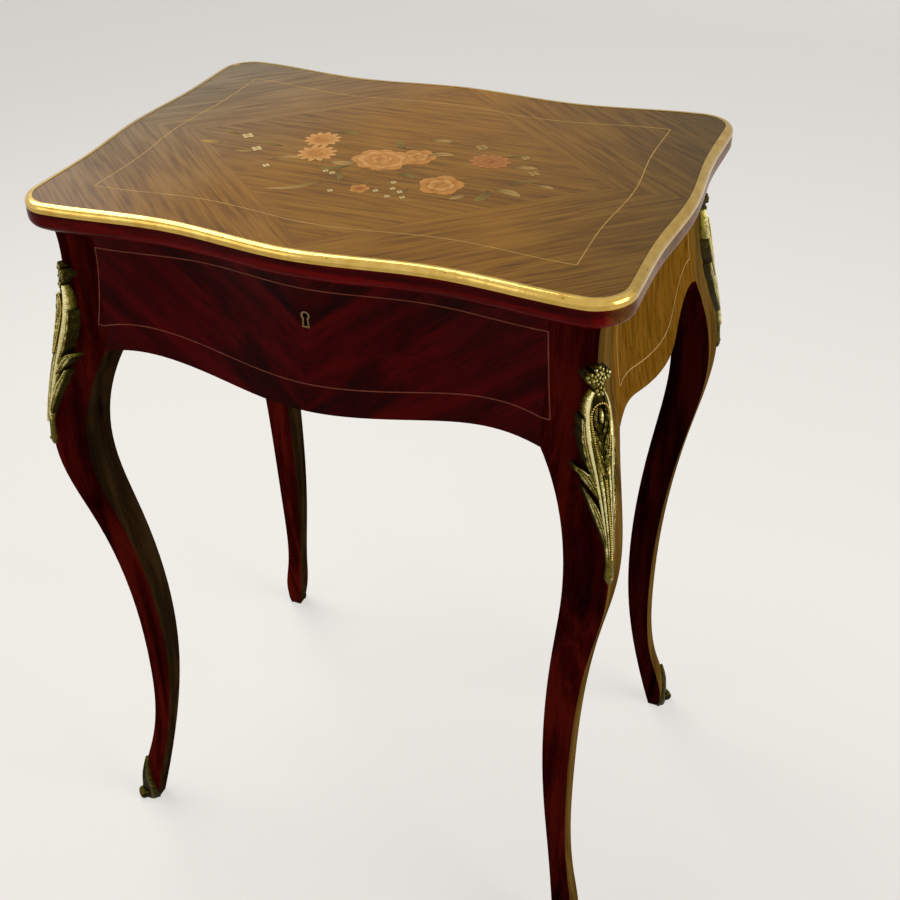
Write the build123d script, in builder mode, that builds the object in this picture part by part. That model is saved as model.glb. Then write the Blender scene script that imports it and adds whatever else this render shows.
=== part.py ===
"""Poudreuse: a small lift-top dressing table on four cabriole legs.

Millimetres. +X to the right, +Y to the back, +Z up. The origin is on the floor under the
middle of the table. The front of the table faces -Y.
"""

import os
from math import cos, pi, sqrt

from build123d import *

os.makedirs("parts", exist_ok=True)

# ---------------------------------------------------------------- overall sizes
table_height = 720.0
lid_width = 502.0
lid_depth = 364.0
lid_thickness = 24.7
lid_corner_radius = 31.0
lid_gap = 0.3  # air between the carcass and the closed lid
lid_overhang = 21.0  # from the posts to the edge of the lid

# ---------------------------------------------------------------- serpentine plan
# dip: how far a side draws in between its middle and its ends; bow: how far its middle swells
front_dip, front_bow = 9.0, 3.6
back_dip, back_bow = 10.0, -3.4
side_dip, side_bow = 2.7, 4.7
wave_spans = 4  # curve spans from the middle of a side to its end

# ---------------------------------------------------------------- lid
edge_band_width = 6.5
edge_band_height = 7.0
edge_band_round = 4.5
veneer_thickness = 0.8
lid_edge_round = 7.0
lid_fillet_strip = 2.0  # flat strip under the rounded edge
lid_fillet_inset = 8.0

# ---------------------------------------------------------------- legs and aprons
# drops are measured down from the top of the carcass, outs from the face of a post
post_size = 38.0
apron_thickness = 20.0  # at the posts
apron_spare = 1.0  # stock left behind an apron until its back is planed flat
hollow_drop, hollow_in = 45.0, 0.6
flare_drop, flare_out = 102.0, 8.5
swell_drop, swell_out = 163.0, 21.5
knee_drop, knee_out, knee_width = 210.0, 26.0, 36.5
calf_drop, calf_out, calf_width = 300.0, 12.5, 31.5
ankle_height, ankle_in, ankle_width = 190.0, 3.5, 22.5
shin_height, shin_out, shin_width = 80.0, 7.0, 18.5
toe_height, toe_out = 28.0, 18.0
sole_out, sole_width = 16.5, 12.5
shoulder_drop = 108.0  # the aprons meet the posts here
ear_drop, ear_in = 137.0, 24.0
throat_drop, throat_in = 173.0, 14.0
# the lower edge of an apron, from its shoulder: it rises, falls and is lowest at its middle
arch_share, arch_rise = 0.87, 5.0
quarter_share, quarter_fall = 0.5, 4.0
centre_fall = 10.5

# ---------------------------------------------------------------- inside of the carcass
bottom_thickness = 6.0
bottom_drop = 94.0  # carcass top to the underside of the bottom board
ledge_size = 8.0
ledge_share = 0.9  # of the apron that carries it
divider_thickness = 6.0
divider_height = 62.0
divider_spacing = 190.0  # between the middles of the two cross dividers
long_divider_y = 30.0
wood_clearance = 0.2

# ---------------------------------------------------------------- hinges
hinge_setback = 3.5  # pivot line behind the back faces of the posts
hinge_length = 50.0
hinge_inset = 72.0  # from the ends of the back apron to the middles of the hinges
hinge_barrel_radius = 2.5
hinge_pin_radius = 1.2
hinge_pin_clearance = 0.05
knuckles = 5
knuckle_gap = 0.3
leaf_thickness = 1.5
leaf_reach = 17.0
leaf_clearance = 0.1
barrel_clearance = 0.4

# ---------------------------------------------------------------- screws
screw_head_radius = 2.3
screw_shank_radius = 1.2
screw_length = 10.0
screw_clearance = 0.1
screw_slot = 0.6
hinge_screw_spacing = 17.0
hinge_screw_setback = 10.5  # from the pivot line

# ---------------------------------------------------------------- lock
keyhole_drop = 39.0  # carcass top to the round of the keyhole
keyhole_radius = 2.4
keyhole_foot_width = 3.8
keyhole_foot_length = 9.0
keyhole_taper = 84.0  # degrees
lock_width, lock_height, lock_depth = 54.0, 48.0, 12.0
lock_wall = 1.5
lock_plate_length = 72.0
lock_plate_thickness = 1.5
lock_screw_spacing = 63.0
bolt_length, bolt_thickness = 27.5, 4.0
bolt_drop = 6.5  # carcass top to the middle of the bolt
bolt_travel = 8.0
bolt_clearance = 0.2
bolt_nose_gap = 0.5  # from the staple with the lock open
bolt_tail_width, bolt_tail_length = 6.0, 18.0
lug_length, lug_height = 2.8, 2.0  # of the lug beside the staple
staple_x = 7.5
staple_thickness, staple_width, staple_reach = 3.0, 8.0, 13.0
staple_eye = 5.2
staple_clearance = 0.5
link_plate_length, link_plate_width = 44.0, 12.0
link_screw_spacing = 32.0

# ---------------------------------------------------------------- mirror under the lid
mirror_thickness = 4.0
mirror_side_room = 14.0  # between the mirror frame and the side aprons, with the lid shut
mirror_post_room = 1.0  # between the mirror frame and the posts in front of it and behind it
mirror_frame_width, mirror_frame_height = 13.0, 6.0
mirror_frame_lap = 5.0
mirror_frame_round = 3.0
mirror_clearance = 0.3

# ---------------------------------------------------------------- gilt-brass mounts
chute_top_drop = 36.0
chute_length = 172.0
chute_half_width = 12.7
chute_proud = 7.5
# down the chute: share of its length, of its half width and of its depth
chute_form = [
    (1.00, 0.28, 0.33),
    (0.92, 0.20, 0.33),
    (0.75, 0.28, 0.45),
    (0.58, 0.55, 0.65),
    (0.49, 0.80, 0.80),
    (0.34, 1.00, 1.00),
    (0.23, 1.00, 1.05),
    (0.16, 0.83, 0.85),
    (0.11, 0.58, 0.70),
    (0.06, 0.40, 0.55),
]
chute_hollow = (0.55, 0.45)  # the hollow beside the ridge: share of its half width and depth
chute_plate = 2.2
leaf_half_width = 19.0
petals = 6
petal_radius = 3.6
petal_ring = 6.4
bud_radius = 3.2
bud_proud = 1.6
sabot_height = 70.0
sabot_half_width = 18.0
sabot_side = 12.0
sabot_wall = 1.6
scroll_radius = 7.5
scroll_width = 15.0
scroll_height = 11.0
escutcheon_rim = 1.4
escutcheon_proud = 0.4
escutcheon_depth = 3.5

# ---------------------------------------------------------------- places worked out from these
carcass_top = table_height - lid_thickness - lid_gap
lid_bottom = carcass_top + lid_gap
post_x = lid_width / 2 - lid_overhang  # outer faces of the posts
post_y = lid_depth / 2 - lid_overhang
span_x = post_x - post_size  # the front and back aprons end here
span_y = post_y - post_size
inner_x = post_x - apron_thickness  # inner faces of the aprons
inner_y = post_y - apron_thickness
shoulder_z = carcass_top - shoulder_drop
bottom_top = carcass_top - bottom_drop + bottom_thickness
hinge_y = post_y + hinge_setback
hinge_z = carcass_top + lid_gap / 2
hinge_spacing = 2 * (span_x - hinge_inset)
mirror_width = 2 * (inner_x - mirror_side_room - mirror_frame_width + mirror_frame_lap)
mirror_depth = 2 * (span_y - mirror_post_room - mirror_frame_width + mirror_frame_lap)
lock_y = -(inner_y + lock_depth / 2)  # middle of the lock, from front to back
bolt_z = carcass_top - bolt_drop
bolt_nose = staple_x - staple_thickness / 2 - bolt_nose_gap
keyhole_z = carcass_top - keyhole_drop
keyhole_face = post_y + front_bow - hollow_in  # the apron's face at the keyhole
far = table_height + lid_width  # longer than anything on the table
corners = {
    "front_left": (-1, -1),
    "front_right": (1, -1),
    "back_left": (-1, 1),
    "back_right": (1, 1),
}
sides = {"left": -1, "right": 1}
low = (Align.CENTER, Align.CENTER, Align.MIN)
high = (Align.CENTER, Align.CENTER, Align.MAX)


def save(piece, name):
    """Label a finished piece and write it to its own STEP file."""
    piece.part.label = name
    export_step(piece.part, f"parts/{name}.step")


# ================================================================ outlines
def wave(t, dip, bow):
    """How far a serpentine side lies inside its end points; t is 0 at its middle, 1 at its ends."""
    return dip * (1 - cos(2 * pi * t)) / 2 - bow * (1 + cos(pi * t)) / 2


def side_points(half_length, dip, bow):
    """Points along one serpentine side, as (distance along it, distance drawn in)."""
    steps = [i / wave_spans for i in range(-wave_spans, wave_spans + 1)]
    return [(t * half_length, wave(abs(t), dip, bow)) for t in steps]


def lid_plan(inset, height):
    """The lid's plan outline, drawn inset from its edge, as a horizontal face at a height."""
    half_w = lid_width / 2 - inset
    half_d = lid_depth / 2 - inset
    radius = lid_corner_radius - inset
    run_x, run_y = half_w - radius, half_d - radius
    front = [(s, d - half_d) for s, d in side_points(run_x, front_dip, front_bow)]
    right = [(half_w - d, s) for s, d in side_points(run_y, side_dip, side_bow)]
    back = [(-s, half_d - d) for s, d in side_points(run_x, back_dip, back_bow)]
    left = [(d - half_w, -s) for s, d in side_points(run_y, side_dip, side_bow)]
    edges = [front, right, back, left]
    headings = [(1, 0), (0, 1), (-1, 0), (0, -1)]
    with BuildSketch(Plane.XY.offset(height)) as plan:
        with BuildLine():
            for edge, heading in zip(edges, headings):
                Spline(*edge, tangents=[heading, heading])
            for edge, following, heading in zip(edges, edges[1:] + edges[:1], headings):
                TangentArc(edge[-1], following[0], tangent=heading)
        make_face()
    return plan.sketch


def leg_line(grow):
    """Outer line of a leg from the carcass top to the sole, as (outward, height) points."""
    return [
        (grow, carcass_top),
        (grow - hollow_in, carcass_top - hollow_drop),
        (grow + flare_out, carcass_top - flare_drop),
        (grow + swell_out, carcass_top - swell_drop),
        (grow + knee_out, carcass_top - knee_drop),
        (grow + calf_out, carcass_top - calf_drop),
        (grow - ankle_in, ankle_height),
        (grow + shin_out, shin_height),
        (grow + toe_out, toe_height),
        (grow + sole_out, 0),
    ]


def leg_back_line():
    """Inner line of a leg from the sole up to its ear under the apron."""
    return [
        (sole_out - sole_width, 0),
        (shin_out - shin_width, shin_height),
        (-ankle_in - ankle_width, ankle_height),
        (calf_out - calf_width, carcass_top - calf_drop),
        (knee_out - knee_width, carcass_top - knee_drop),
        (-throat_in, carcass_top - throat_drop),
        (-ear_in, carcass_top - ear_drop),
        (-post_size, shoulder_z),
    ]


def leg_side_view(plane, corner, side, grow):
    """A leg and its post seen square on; side is 1 or -1, corner is the post's outer face."""
    outer = [(side * (corner + out), z) for out, z in leg_line(grow)]
    inner = [(side * (corner + out), z) for out, z in leg_back_line()]
    with BuildSketch(plane) as view:
        with BuildLine():
            Spline(*outer)
            Line(outer[-1], inner[0])
            Spline(*inner)
            Polyline(inner[-1], (inner[-1][0], carcass_top), outer[0])
        make_face()
    return view.sketch


def leg_form(grow):
    """The front right leg, sawn from square stock to the same curve on both of its faces."""
    extrude(leg_side_view(Plane.XZ, post_x, 1, grow), amount=far)
    extrude(leg_side_view(Plane.YZ, post_y, -1, grow), amount=far, mode=Mode.INTERSECT)


def apron_section(plane, corner, side, thickness):
    """Upright section of an apron: its face follows the legs."""
    outer = [(side * (corner + out), z) for out, z in leg_line(0)]
    back = side * (corner - thickness)
    with BuildSketch(plane) as section:
        with BuildLine():
            Spline(*outer)
            Polyline(outer[-1], (back, 0), (back, carcass_top), outer[0])
        make_face()
        with Locations((side * corner, carcass_top)):
            Rectangle(2 * post_size + knee_out, 2 * (shoulder_drop + 2 * centre_fall), mode=Mode.INTERSECT)
    return section.sketch


def scallop(plane, span):
    """Everything below the scalloped lower edge of an apron."""
    half_edge = [
        (span, shoulder_z),
        (arch_share * span, shoulder_z + arch_rise),
        (quarter_share * span, shoulder_z - quarter_fall),
    ]
    edge = [(-s, z) for s, z in half_edge] + [(0, shoulder_z - centre_fall)] + half_edge[::-1]
    with BuildSketch(plane) as below:
        with BuildLine():
            Spline(*edge)
            Polyline(edge[-1], (span, 0), (-span, 0), edge[0])
        make_face()
    return below.sketch


def keyhole(plane, grow=0.0):
    """Keyhole outline: a round with a foot under it."""
    foot = keyhole_foot_length + grow
    with BuildSketch(plane) as hole:
        with Locations((0, keyhole_z)):
            Circle(keyhole_radius + grow)
        with Locations((0, keyhole_z - foot / 2)):
            Trapezoid(keyhole_foot_width + 2 * grow, foot, keyhole_taper)
    return hole.sketch


# ================================================================ screws
def screws(seats):
    """Countersunk screws with slotted heads, flush with the planes that they are driven into."""
    with Locations(*seats):
        Cone(screw_shank_radius, screw_head_radius, leaf_thickness, align=high)
        Cylinder(screw_shank_radius, screw_length, align=high)
        Box(2 * screw_head_radius, screw_slot, 2 * screw_slot, mode=Mode.SUBTRACT)


def screw_sinks(seats):
    """Countersunk holes for those screws in a metal plate."""
    with Locations(*seats):
        Cone(
            screw_shank_radius + screw_clearance,
            screw_head_radius + screw_clearance,
            leaf_thickness,
            align=high,
            mode=Mode.SUBTRACT,
        )


def pilot_holes(seats):
    """Holes for those screws in the wood under a plate."""
    depth = screw_length + screw_clearance
    with Locations(*seats):
        Cylinder(screw_shank_radius + screw_clearance, depth, align=high, mode=Mode.SUBTRACT)


hinge_middles = [side * hinge_spacing / 2 for side in sides.values()]
hinge_screw_y = hinge_y - hinge_screw_setback


def hinge_screw_seats(middle, height, heading):
    """Where the three screws of one hinge leaf go; heading is 1 for heads up, -1 for heads down."""
    offsets = [(i - 1) * hinge_screw_spacing for i in range(3)]
    return [
        Plane(origin=(middle + x, hinge_screw_y, height), x_dir=(1, 0, 0), z_dir=(0, 0, heading))
        for x in offsets
    ]


lower_screw_seats = [seat for m in hinge_middles for seat in hinge_screw_seats(m, carcass_top, 1)]
upper_screw_seats = [seat for m in hinge_middles for seat in hinge_screw_seats(m, lid_bottom, -1)]
lock_screw_seats = [
    Plane(origin=(side * lock_screw_spacing / 2, lock_y, carcass_top), x_dir=(1, 0, 0), z_dir=(0, 0, 1))
    for side in sides.values()
]
link_screw_seats = [
    Plane(
        origin=(staple_x + side * link_screw_spacing / 2, lock_y, lid_bottom),
        x_dir=(1, 0, 0),
        z_dir=(0, 0, -1),
    )
    for side in sides.values()
]

def at_corner(side_x, side_y):
    """Carry the piece that is being built from the front right corner to another one."""
    if side_x < 0:
        mirror(about=Plane.YZ, mode=Mode.REPLACE)
    if side_y > 0:
        mirror(about=Plane.XZ, mode=Mode.REPLACE)


# ================================================================ legs
with BuildPart() as front_right_leg:
    leg_form(0)

for name, corner in corners.items():
    with BuildPart() as leg:
        add(front_right_leg.part)
        at_corner(*corner)
    save(leg, f"leg_{name}")

# ================================================================ aprons
with BuildPart() as apron_front:
    with BuildLine() as front_path:
        Spline(
            *[(s, d - post_y, carcass_top) for s, d in side_points(span_x, front_dip, front_bow)],
            tangents=[(1, 0, 0), (1, 0, 0)],
        )
    front_stock = apron_thickness + front_bow + apron_spare
    sweep(apron_section(Plane.YZ.offset(-span_x), post_y, -1, front_stock), path=front_path.wires()[0])
    split(bisect_by=Plane.XZ.offset(inner_y), keep=Keep.TOP)
    extrude(scallop(Plane.XZ, span_x), amount=far, mode=Mode.SUBTRACT)
    # pocket for the lock, its plate and the wood screws of the plate
    with Locations((0, lock_y, carcass_top)):
        Box(
            lock_width + 2 * wood_clearance,
            lock_depth,
            2 * (lock_height + wood_clearance),
            mode=Mode.SUBTRACT,
        )
        Box(lock_plate_length + 2 * wood_clearance, lock_depth, 2 * lock_plate_thickness, mode=Mode.SUBTRACT)
    pilot_holes(lock_screw_seats)
    extrude(keyhole(Plane.XZ), amount=far, mode=Mode.SUBTRACT)
    extrude(
        keyhole(Plane.XZ.offset(keyhole_face - escutcheon_depth), escutcheon_rim),
        amount=far,
        mode=Mode.SUBTRACT,
    )
save(apron_front, "apron_front")

with BuildPart() as apron_back:
    with Locations((0, post_y - apron_thickness / 2, carcass_top)):
        Box(2 * span_x, apron_thickness, 2 * (shoulder_drop + centre_fall))
        Box(far, far, far, align=low, mode=Mode.SUBTRACT)
    extrude(scallop(Plane.XZ, span_x), amount=-far, mode=Mode.SUBTRACT)
    for middle in hinge_middles:
        with Locations((middle, hinge_y - leaf_reach - leaf_clearance, carcass_top)):
            Box(
                hinge_length + 2 * leaf_clearance,
                2 * leaf_reach,
                2 * leaf_thickness,
                align=(Align.CENTER, Align.MIN, Align.CENTER),
                mode=Mode.SUBTRACT,
            )
    pilot_holes(lower_screw_seats)
save(apron_back, "apron_back")

for name, side in sides.items():
    with BuildPart() as apron_side:
        with BuildLine() as side_path:
            Spline(
                *[(side * (post_x - d), s, carcass_top) for s, d in side_points(span_y, side_dip, side_bow)],
                tangents=[(0, 1, 0), (0, 1, 0)],
            )
        side_stock = apron_thickness + side_bow + apron_spare
        sweep(apron_section(Plane.XZ.offset(span_y), post_x, side, side_stock), path=side_path.wires()[0])
        split(bisect_by=Plane.YZ.offset(side * inner_x), keep=Keep.TOP if side > 0 else Keep.BOTTOM)
        extrude(scallop(Plane.YZ, span_y), amount=side * far, mode=Mode.SUBTRACT)
    save(apron_side, f"apron_{name}")

# ================================================================ inside of the carcass
with BuildPart() as bottom_board:
    with BuildSketch(Plane.XY.offset(bottom_top - bottom_thickness)):
        Rectangle(2 * (inner_x - wood_clearance), 2 * (inner_y - wood_clearance))
        with GridLocations(2 * post_x, 2 * post_y, 2, 2):
            notch = 2 * (post_size + wood_clearance)
            Rectangle(notch, notch, mode=Mode.SUBTRACT)
    extrude(amount=bottom_thickness)
save(bottom_board, "bottom_board")

with BuildPart() as bottom_ledges:
    with Locations((0, 0, bottom_top - bottom_thickness)):
        with GridLocations(0, 2 * inner_y - ledge_size, 1, 2):
            Box(2 * ledge_share * span_x, ledge_size, ledge_size, align=high)
        with GridLocations(2 * inner_x - ledge_size, 0, 2, 1):
            Box(ledge_size, 2 * ledge_share * span_y, ledge_size, align=high)
save(bottom_ledges, "bottom_ledges")

for name, side in sides.items():
    with BuildPart() as divider:
        with Locations((side * divider_spacing / 2, 0, bottom_top)):
            Box(divider_thickness, 2 * (inner_y - wood_clearance), divider_height, align=low)
    save(divider, f"divider_{name}")

with BuildPart() as divider_middle:
    with Locations((0, long_divider_y, bottom_top)):
        between = divider_spacing - divider_thickness - 2 * wood_clearance
        Box(between, divider_thickness, divider_height, align=low)
save(divider_middle, "divider_middle")

# ================================================================ lock in the front apron
with BuildPart() as lock_case:
    with Locations((0, lock_y, carcass_top - lock_plate_thickness)):
        Box(lock_width, lock_depth, lock_height - lock_plate_thickness, align=high)
        Box(
            lock_width - 2 * lock_wall,
            lock_depth - 2 * lock_wall,
            2 * (lock_height - lock_plate_thickness - lock_wall),
            mode=Mode.SUBTRACT,
        )
    # lugs that the bolt runs on, each side of its tail
    lug_top = bolt_z - bolt_thickness / 2 - bolt_clearance
    right_lug_end = bolt_nose - bolt_nose_gap
    right_lug_start = right_lug_end - lug_length
    tail_x = right_lug_start - bolt_clearance - bolt_travel - bolt_tail_width / 2
    left_lug_end = tail_x - bolt_tail_width / 2 - bolt_clearance
    for start, end in ((lock_wall - lock_width / 2, left_lug_end), (right_lug_start, right_lug_end)):
        with Locations(((start + end) / 2, lock_y, lug_top)):
            Box(end - start, lock_depth - lock_wall, lug_height, align=high)
    extrude(keyhole(Plane.XZ.offset(-lock_y)), amount=lock_depth, mode=Mode.SUBTRACT)
save(lock_case, "lock_case")

with BuildPart() as lock_faceplate:
    with Locations((0, lock_y, carcass_top)):
        Box(lock_plate_length, lock_depth, lock_plate_thickness, align=high)
    with Locations((staple_x, lock_y, carcass_top)):
        Box(
            staple_thickness + 2 * staple_clearance,
            staple_width + 2 * staple_clearance,
            4 * lock_plate_thickness,
            mode=Mode.SUBTRACT,
        )
    screw_sinks(lock_screw_seats)
save(lock_faceplate, "lock_faceplate")

with BuildPart() as lock_screws:
    screws(lock_screw_seats)
save(lock_screws, "lock_screws")

with BuildPart() as lock_bolt:
    with Locations((bolt_nose, lock_y, bolt_z)):
        Box(bolt_length, bolt_thickness, bolt_thickness, align=(Align.MAX, Align.CENTER, Align.CENTER))
    with Locations((tail_x, lock_y, bolt_z)):
        Box(bolt_tail_width, bolt_thickness, bolt_tail_length + bolt_thickness / 2, align=high)
    chamfer(lock_bolt.edges().filter_by(Axis.Z).sort_by(Axis.X)[-2:], bolt_thickness / 8)
save(lock_bolt, "lock_bolt")

with BuildPart() as keyhole_escutcheon:
    rim_back = keyhole_face - escutcheon_depth
    rim_depth = escutcheon_depth + escutcheon_proud
    extrude(keyhole(Plane.XZ.offset(rim_back), escutcheon_rim), amount=rim_depth)
    extrude(keyhole(Plane.XZ.offset(rim_back)), amount=rim_depth, mode=Mode.SUBTRACT)
save(keyhole_escutcheon, "keyhole_escutcheon")

# ================================================================ lid
with BuildPart() as lid_board:
    rounded_from = lid_bottom + lid_fillet_strip
    band_from = table_height - edge_band_height
    extrude(lid_plan(0, rounded_from), amount=band_from - rounded_from)
    fillet(lid_board.edges().group_by(Axis.Z)[0], lid_edge_round)
    extrude(lid_plan(lid_fillet_inset, lid_bottom), amount=lid_fillet_strip)
    extrude(lid_plan(edge_band_width, band_from), amount=edge_band_height - veneer_thickness)
    # rebate for the mirror
    with Locations((0, 0, lid_bottom)):
        Box(
            mirror_width + 2 * mirror_clearance,
            mirror_depth + 2 * mirror_clearance,
            2 * (mirror_thickness + mirror_clearance),
            mode=Mode.SUBTRACT,
        )
    # mortises for the hinge leaves, the hinge barrels and the link plate
    for middle in hinge_middles:
        with Locations((middle, hinge_y - leaf_reach - leaf_clearance, lid_bottom)):
            Box(
                hinge_length + 2 * leaf_clearance,
                leaf_reach + leaf_clearance,
                2 * (leaf_thickness + leaf_clearance),
                align=(Align.CENTER, Align.MIN, Align.CENTER),
                mode=Mode.SUBTRACT,
            )
        barrel_room = hinge_barrel_radius + barrel_clearance
        with Locations((middle, hinge_y - barrel_room, hinge_z)):
            Box(
                hinge_length + 2 * barrel_clearance,
                lid_depth,
                2 * barrel_room,
                align=(Align.CENTER, Align.MIN, Align.CENTER),
                mode=Mode.SUBTRACT,
            )
    with Locations((staple_x, lock_y, lid_bottom)):
        Box(
            link_plate_length + 2 * leaf_clearance,
            link_plate_width + 2 * leaf_clearance,
            2 * (leaf_thickness + leaf_clearance),
            mode=Mode.SUBTRACT,
        )
    pilot_holes(upper_screw_seats)
    pilot_holes(link_screw_seats)
save(lid_board, "lid_board")

with BuildPart() as lid_edge_band:
    extrude(lid_plan(0, band_from), amount=edge_band_height)
    fillet(lid_edge_band.edges().group_by(Axis.Z)[-1], edge_band_round)
    extrude(lid_plan(edge_band_width, band_from), amount=edge_band_height, mode=Mode.SUBTRACT)
save(lid_edge_band, "lid_edge_band")

with BuildPart() as top_veneer:
    extrude(lid_plan(edge_band_width, table_height), amount=-veneer_thickness)
save(top_veneer, "top_veneer")

with BuildPart() as mirror_glass:
    with Locations((0, 0, lid_bottom)):
        Box(mirror_width, mirror_depth, mirror_thickness, align=low)
save(mirror_glass, "mirror_glass")

with BuildPart() as mirror_frame:
    frame_sight_x = mirror_width - 2 * mirror_frame_lap
    frame_sight_y = mirror_depth - 2 * mirror_frame_lap
    with BuildSketch(Plane.XY.offset(lid_bottom - mirror_frame_height)):
        Rectangle(frame_sight_x + 2 * mirror_frame_width, frame_sight_y + 2 * mirror_frame_width)
        Rectangle(frame_sight_x, frame_sight_y, mode=Mode.SUBTRACT)
    extrude(amount=mirror_frame_height)
    fillet(mirror_frame.faces().sort_by(Axis.Z)[0].edges(), mirror_frame_round)
save(mirror_frame, "mirror_frame")

with BuildPart() as link_plate:
    with Locations((staple_x, lock_y, lid_bottom)):
        Box(link_plate_length, link_plate_width, leaf_thickness, align=low)
        Box(staple_thickness, staple_width, staple_reach, align=high)
    with Locations((staple_x, lock_y, bolt_z)):
        Box(2 * staple_thickness, staple_eye, staple_eye, mode=Mode.SUBTRACT)
    screw_sinks(link_screw_seats)
save(link_plate, "link_plate")

with BuildPart() as link_plate_screws:
    screws(link_screw_seats)
save(link_plate_screws, "link_plate_screws")

# ================================================================ hinges
knuckle_pitch = (hinge_length + knuckle_gap) / knuckles


def hinge_leaf(middle, first, plate_bottom, seats):
    """One leaf with its knuckles; first is 0 for the leaf that carries the end knuckles, else 1."""
    places = [middle + (i - (knuckles - 1) / 2) * knuckle_pitch for i in range(knuckles)]
    with Locations((middle, hinge_y, plate_bottom)):
        Box(hinge_length, leaf_reach, leaf_thickness, align=(Align.CENTER, Align.MAX, Align.MIN))
    # the other leaf's knuckles turn in these reliefs
    relief = hinge_barrel_radius + barrel_clearance
    with Locations(*[(x, hinge_y, hinge_z) for x in places[1 - first :: 2]]):
        Cylinder(relief, knuckle_pitch + knuckle_gap, rotation=(0, 90, 0), mode=Mode.SUBTRACT)
    with Locations(*[(x, hinge_y, hinge_z) for x in places[first::2]]):
        Cylinder(hinge_barrel_radius, knuckle_pitch - knuckle_gap, rotation=(0, 90, 0))
    bore = hinge_pin_radius + hinge_pin_clearance
    with Locations((middle, hinge_y, hinge_z)):
        Cylinder(bore, 2 * hinge_length, rotation=(0, 90, 0), mode=Mode.SUBTRACT)
    screw_sinks(seats)


for name, side in sides.items():
    middle = side * hinge_spacing / 2
    with BuildPart() as lower_leaf:
        hinge_leaf(middle, 0, carcass_top - leaf_thickness, hinge_screw_seats(middle, carcass_top, 1))
    save(lower_leaf, f"hinge_lower_leaf_{name}")
    with BuildPart() as upper_leaf:
        hinge_leaf(middle, 1, lid_bottom, hinge_screw_seats(middle, lid_bottom, -1))
    save(upper_leaf, f"hinge_upper_leaf_{name}")
    with BuildPart() as hinge_pin:
        with Locations((middle, hinge_y, hinge_z)):
            Cylinder(hinge_pin_radius, hinge_length, rotation=(0, 90, 0))
    save(hinge_pin, f"hinge_pin_{name}")

with BuildPart() as hinge_lower_screws:
    screws(lower_screw_seats)
save(hinge_lower_screws, "hinge_lower_screws")

with BuildPart() as hinge_upper_screws:
    screws(upper_screw_seats)
save(hinge_upper_screws, "hinge_upper_screws")

# ================================================================ gilt-brass mounts on the legs
leg_edge = Spline(*leg_line(0))
diagonal = (1, -1, 0)  # out of the front right corner
across = (1, 1, 0)
corner_plane = Plane(origin=(post_x, -post_y, 0), x_dir=across, z_dir=diagonal)


def leg_out(height):
    """How far a leg's faces stand out from its post at a height."""
    above, below = 0.0, 1.0
    while below - above > 1e-4:
        share = (above + below) / 2
        if (leg_edge @ share).Y > height:
            above = share
        else:
            below = share
    return (leg_edge @ above).X


def arris_plane(height):
    """Level plane on the outer arris of the front right leg."""
    out = leg_out(height)
    return Plane(origin=(post_x + out, -post_y - out, height), x_dir=across, z_dir=(0, 0, 1))


def chute_place(share):
    """Height of a place on a chute, from 0 at its top to 1 at its tail."""
    return carcass_top - chute_top_drop - share * chute_length


def chute_leaf():
    """Front view of the leaves that spread from a chute over the two faces of the leg."""
    half = [
        (0.2 * leaf_half_width, chute_place(0.26)),
        (0.62 * leaf_half_width, chute_place(0.38)),
        (leaf_half_width, chute_place(0.5)),
        (0.5 * leaf_half_width, chute_place(0.6)),
        (0.18 * leaf_half_width, chute_place(0.8)),
        (0.12 * leaf_half_width, chute_place(0.98)),
    ]
    mirrored = [(-x, z) for x, z in half]
    with BuildSketch(corner_plane) as leaf:
        with BuildLine():
            Spline(*half)
            Line(half[-1], mirrored[-1])
            Spline(*mirrored[::-1])
            Line(mirrored[0], half[0])
        make_face()
    return leaf.sketch


def sabot_leaf():
    """Front view of the leaf of a sabot."""
    with BuildSketch(corner_plane) as leaf:
        with BuildLine():
            Polyline(
                (-sabot_half_width, sabot_side),
                (-sabot_half_width, 0),
                (sabot_half_width, 0),
                (sabot_half_width, sabot_side),
            )
            for side in sides.values():
                Spline(
                    (side * sabot_half_width, sabot_side),
                    (side * 0.28 * sabot_half_width, 0.62 * sabot_height),
                    (0, sabot_height),
                    tangents=[(-side * 0.5, 1), (-side * 0.15, 1)],
                )
        make_face()
    return leaf.sketch


def chute_section(share, width_share, depth_share):
    """Level section of a chute's body on the arris of the leg: a ridge with a hollow each side."""
    half, proud = width_share * chute_half_width, depth_share * chute_proud
    hollow = (chute_hollow[0] * half, chute_hollow[1] * proud)
    right = [(half, -proud), (half, 0), hollow, (0, proud)]
    left = [(-x, y) for x, y in right[-2::-1]]
    with BuildSketch(arris_plane(chute_place(share))) as section:
        with BuildLine():
            Polyline(*right, *left, close=True)
        make_face()
    return section.sketch


with BuildPart() as front_right_chute:
    leg_form(chute_plate)
    extrude(chute_leaf(), amount=far / 4, both=True, mode=Mode.INTERSECT)
    loft([chute_section(*row) for row in chute_form], ruled=True)
    rosette_z = chute_place(petal_ring / chute_length)
    rosette = corner_plane.offset(leg_out(rosette_z) * sqrt(2) - petal_ring)
    with BuildSketch(rosette):
        with Locations((0, rosette_z)):
            Circle(petal_ring)
            with PolarLocations(petal_ring, petals):
                Circle(petal_radius)
    extrude(amount=petal_ring + petal_radius)
    with BuildSketch(rosette):
        with Locations((0, rosette_z)):
            Circle(bud_radius)
    extrude(amount=petal_ring + petal_radius + bud_proud)
    add(front_right_leg.part, mode=Mode.SUBTRACT)

with BuildPart() as front_right_sabot:
    leg_form(sabot_wall)
    extrude(sabot_leaf(), amount=far / 4, both=True, mode=Mode.INTERSECT)
    with Locations(arris_plane(scroll_height)):
        Cylinder(scroll_radius, scroll_width, rotation=(0, 90, 0))
    add(front_right_leg.part, mode=Mode.SUBTRACT)

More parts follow.
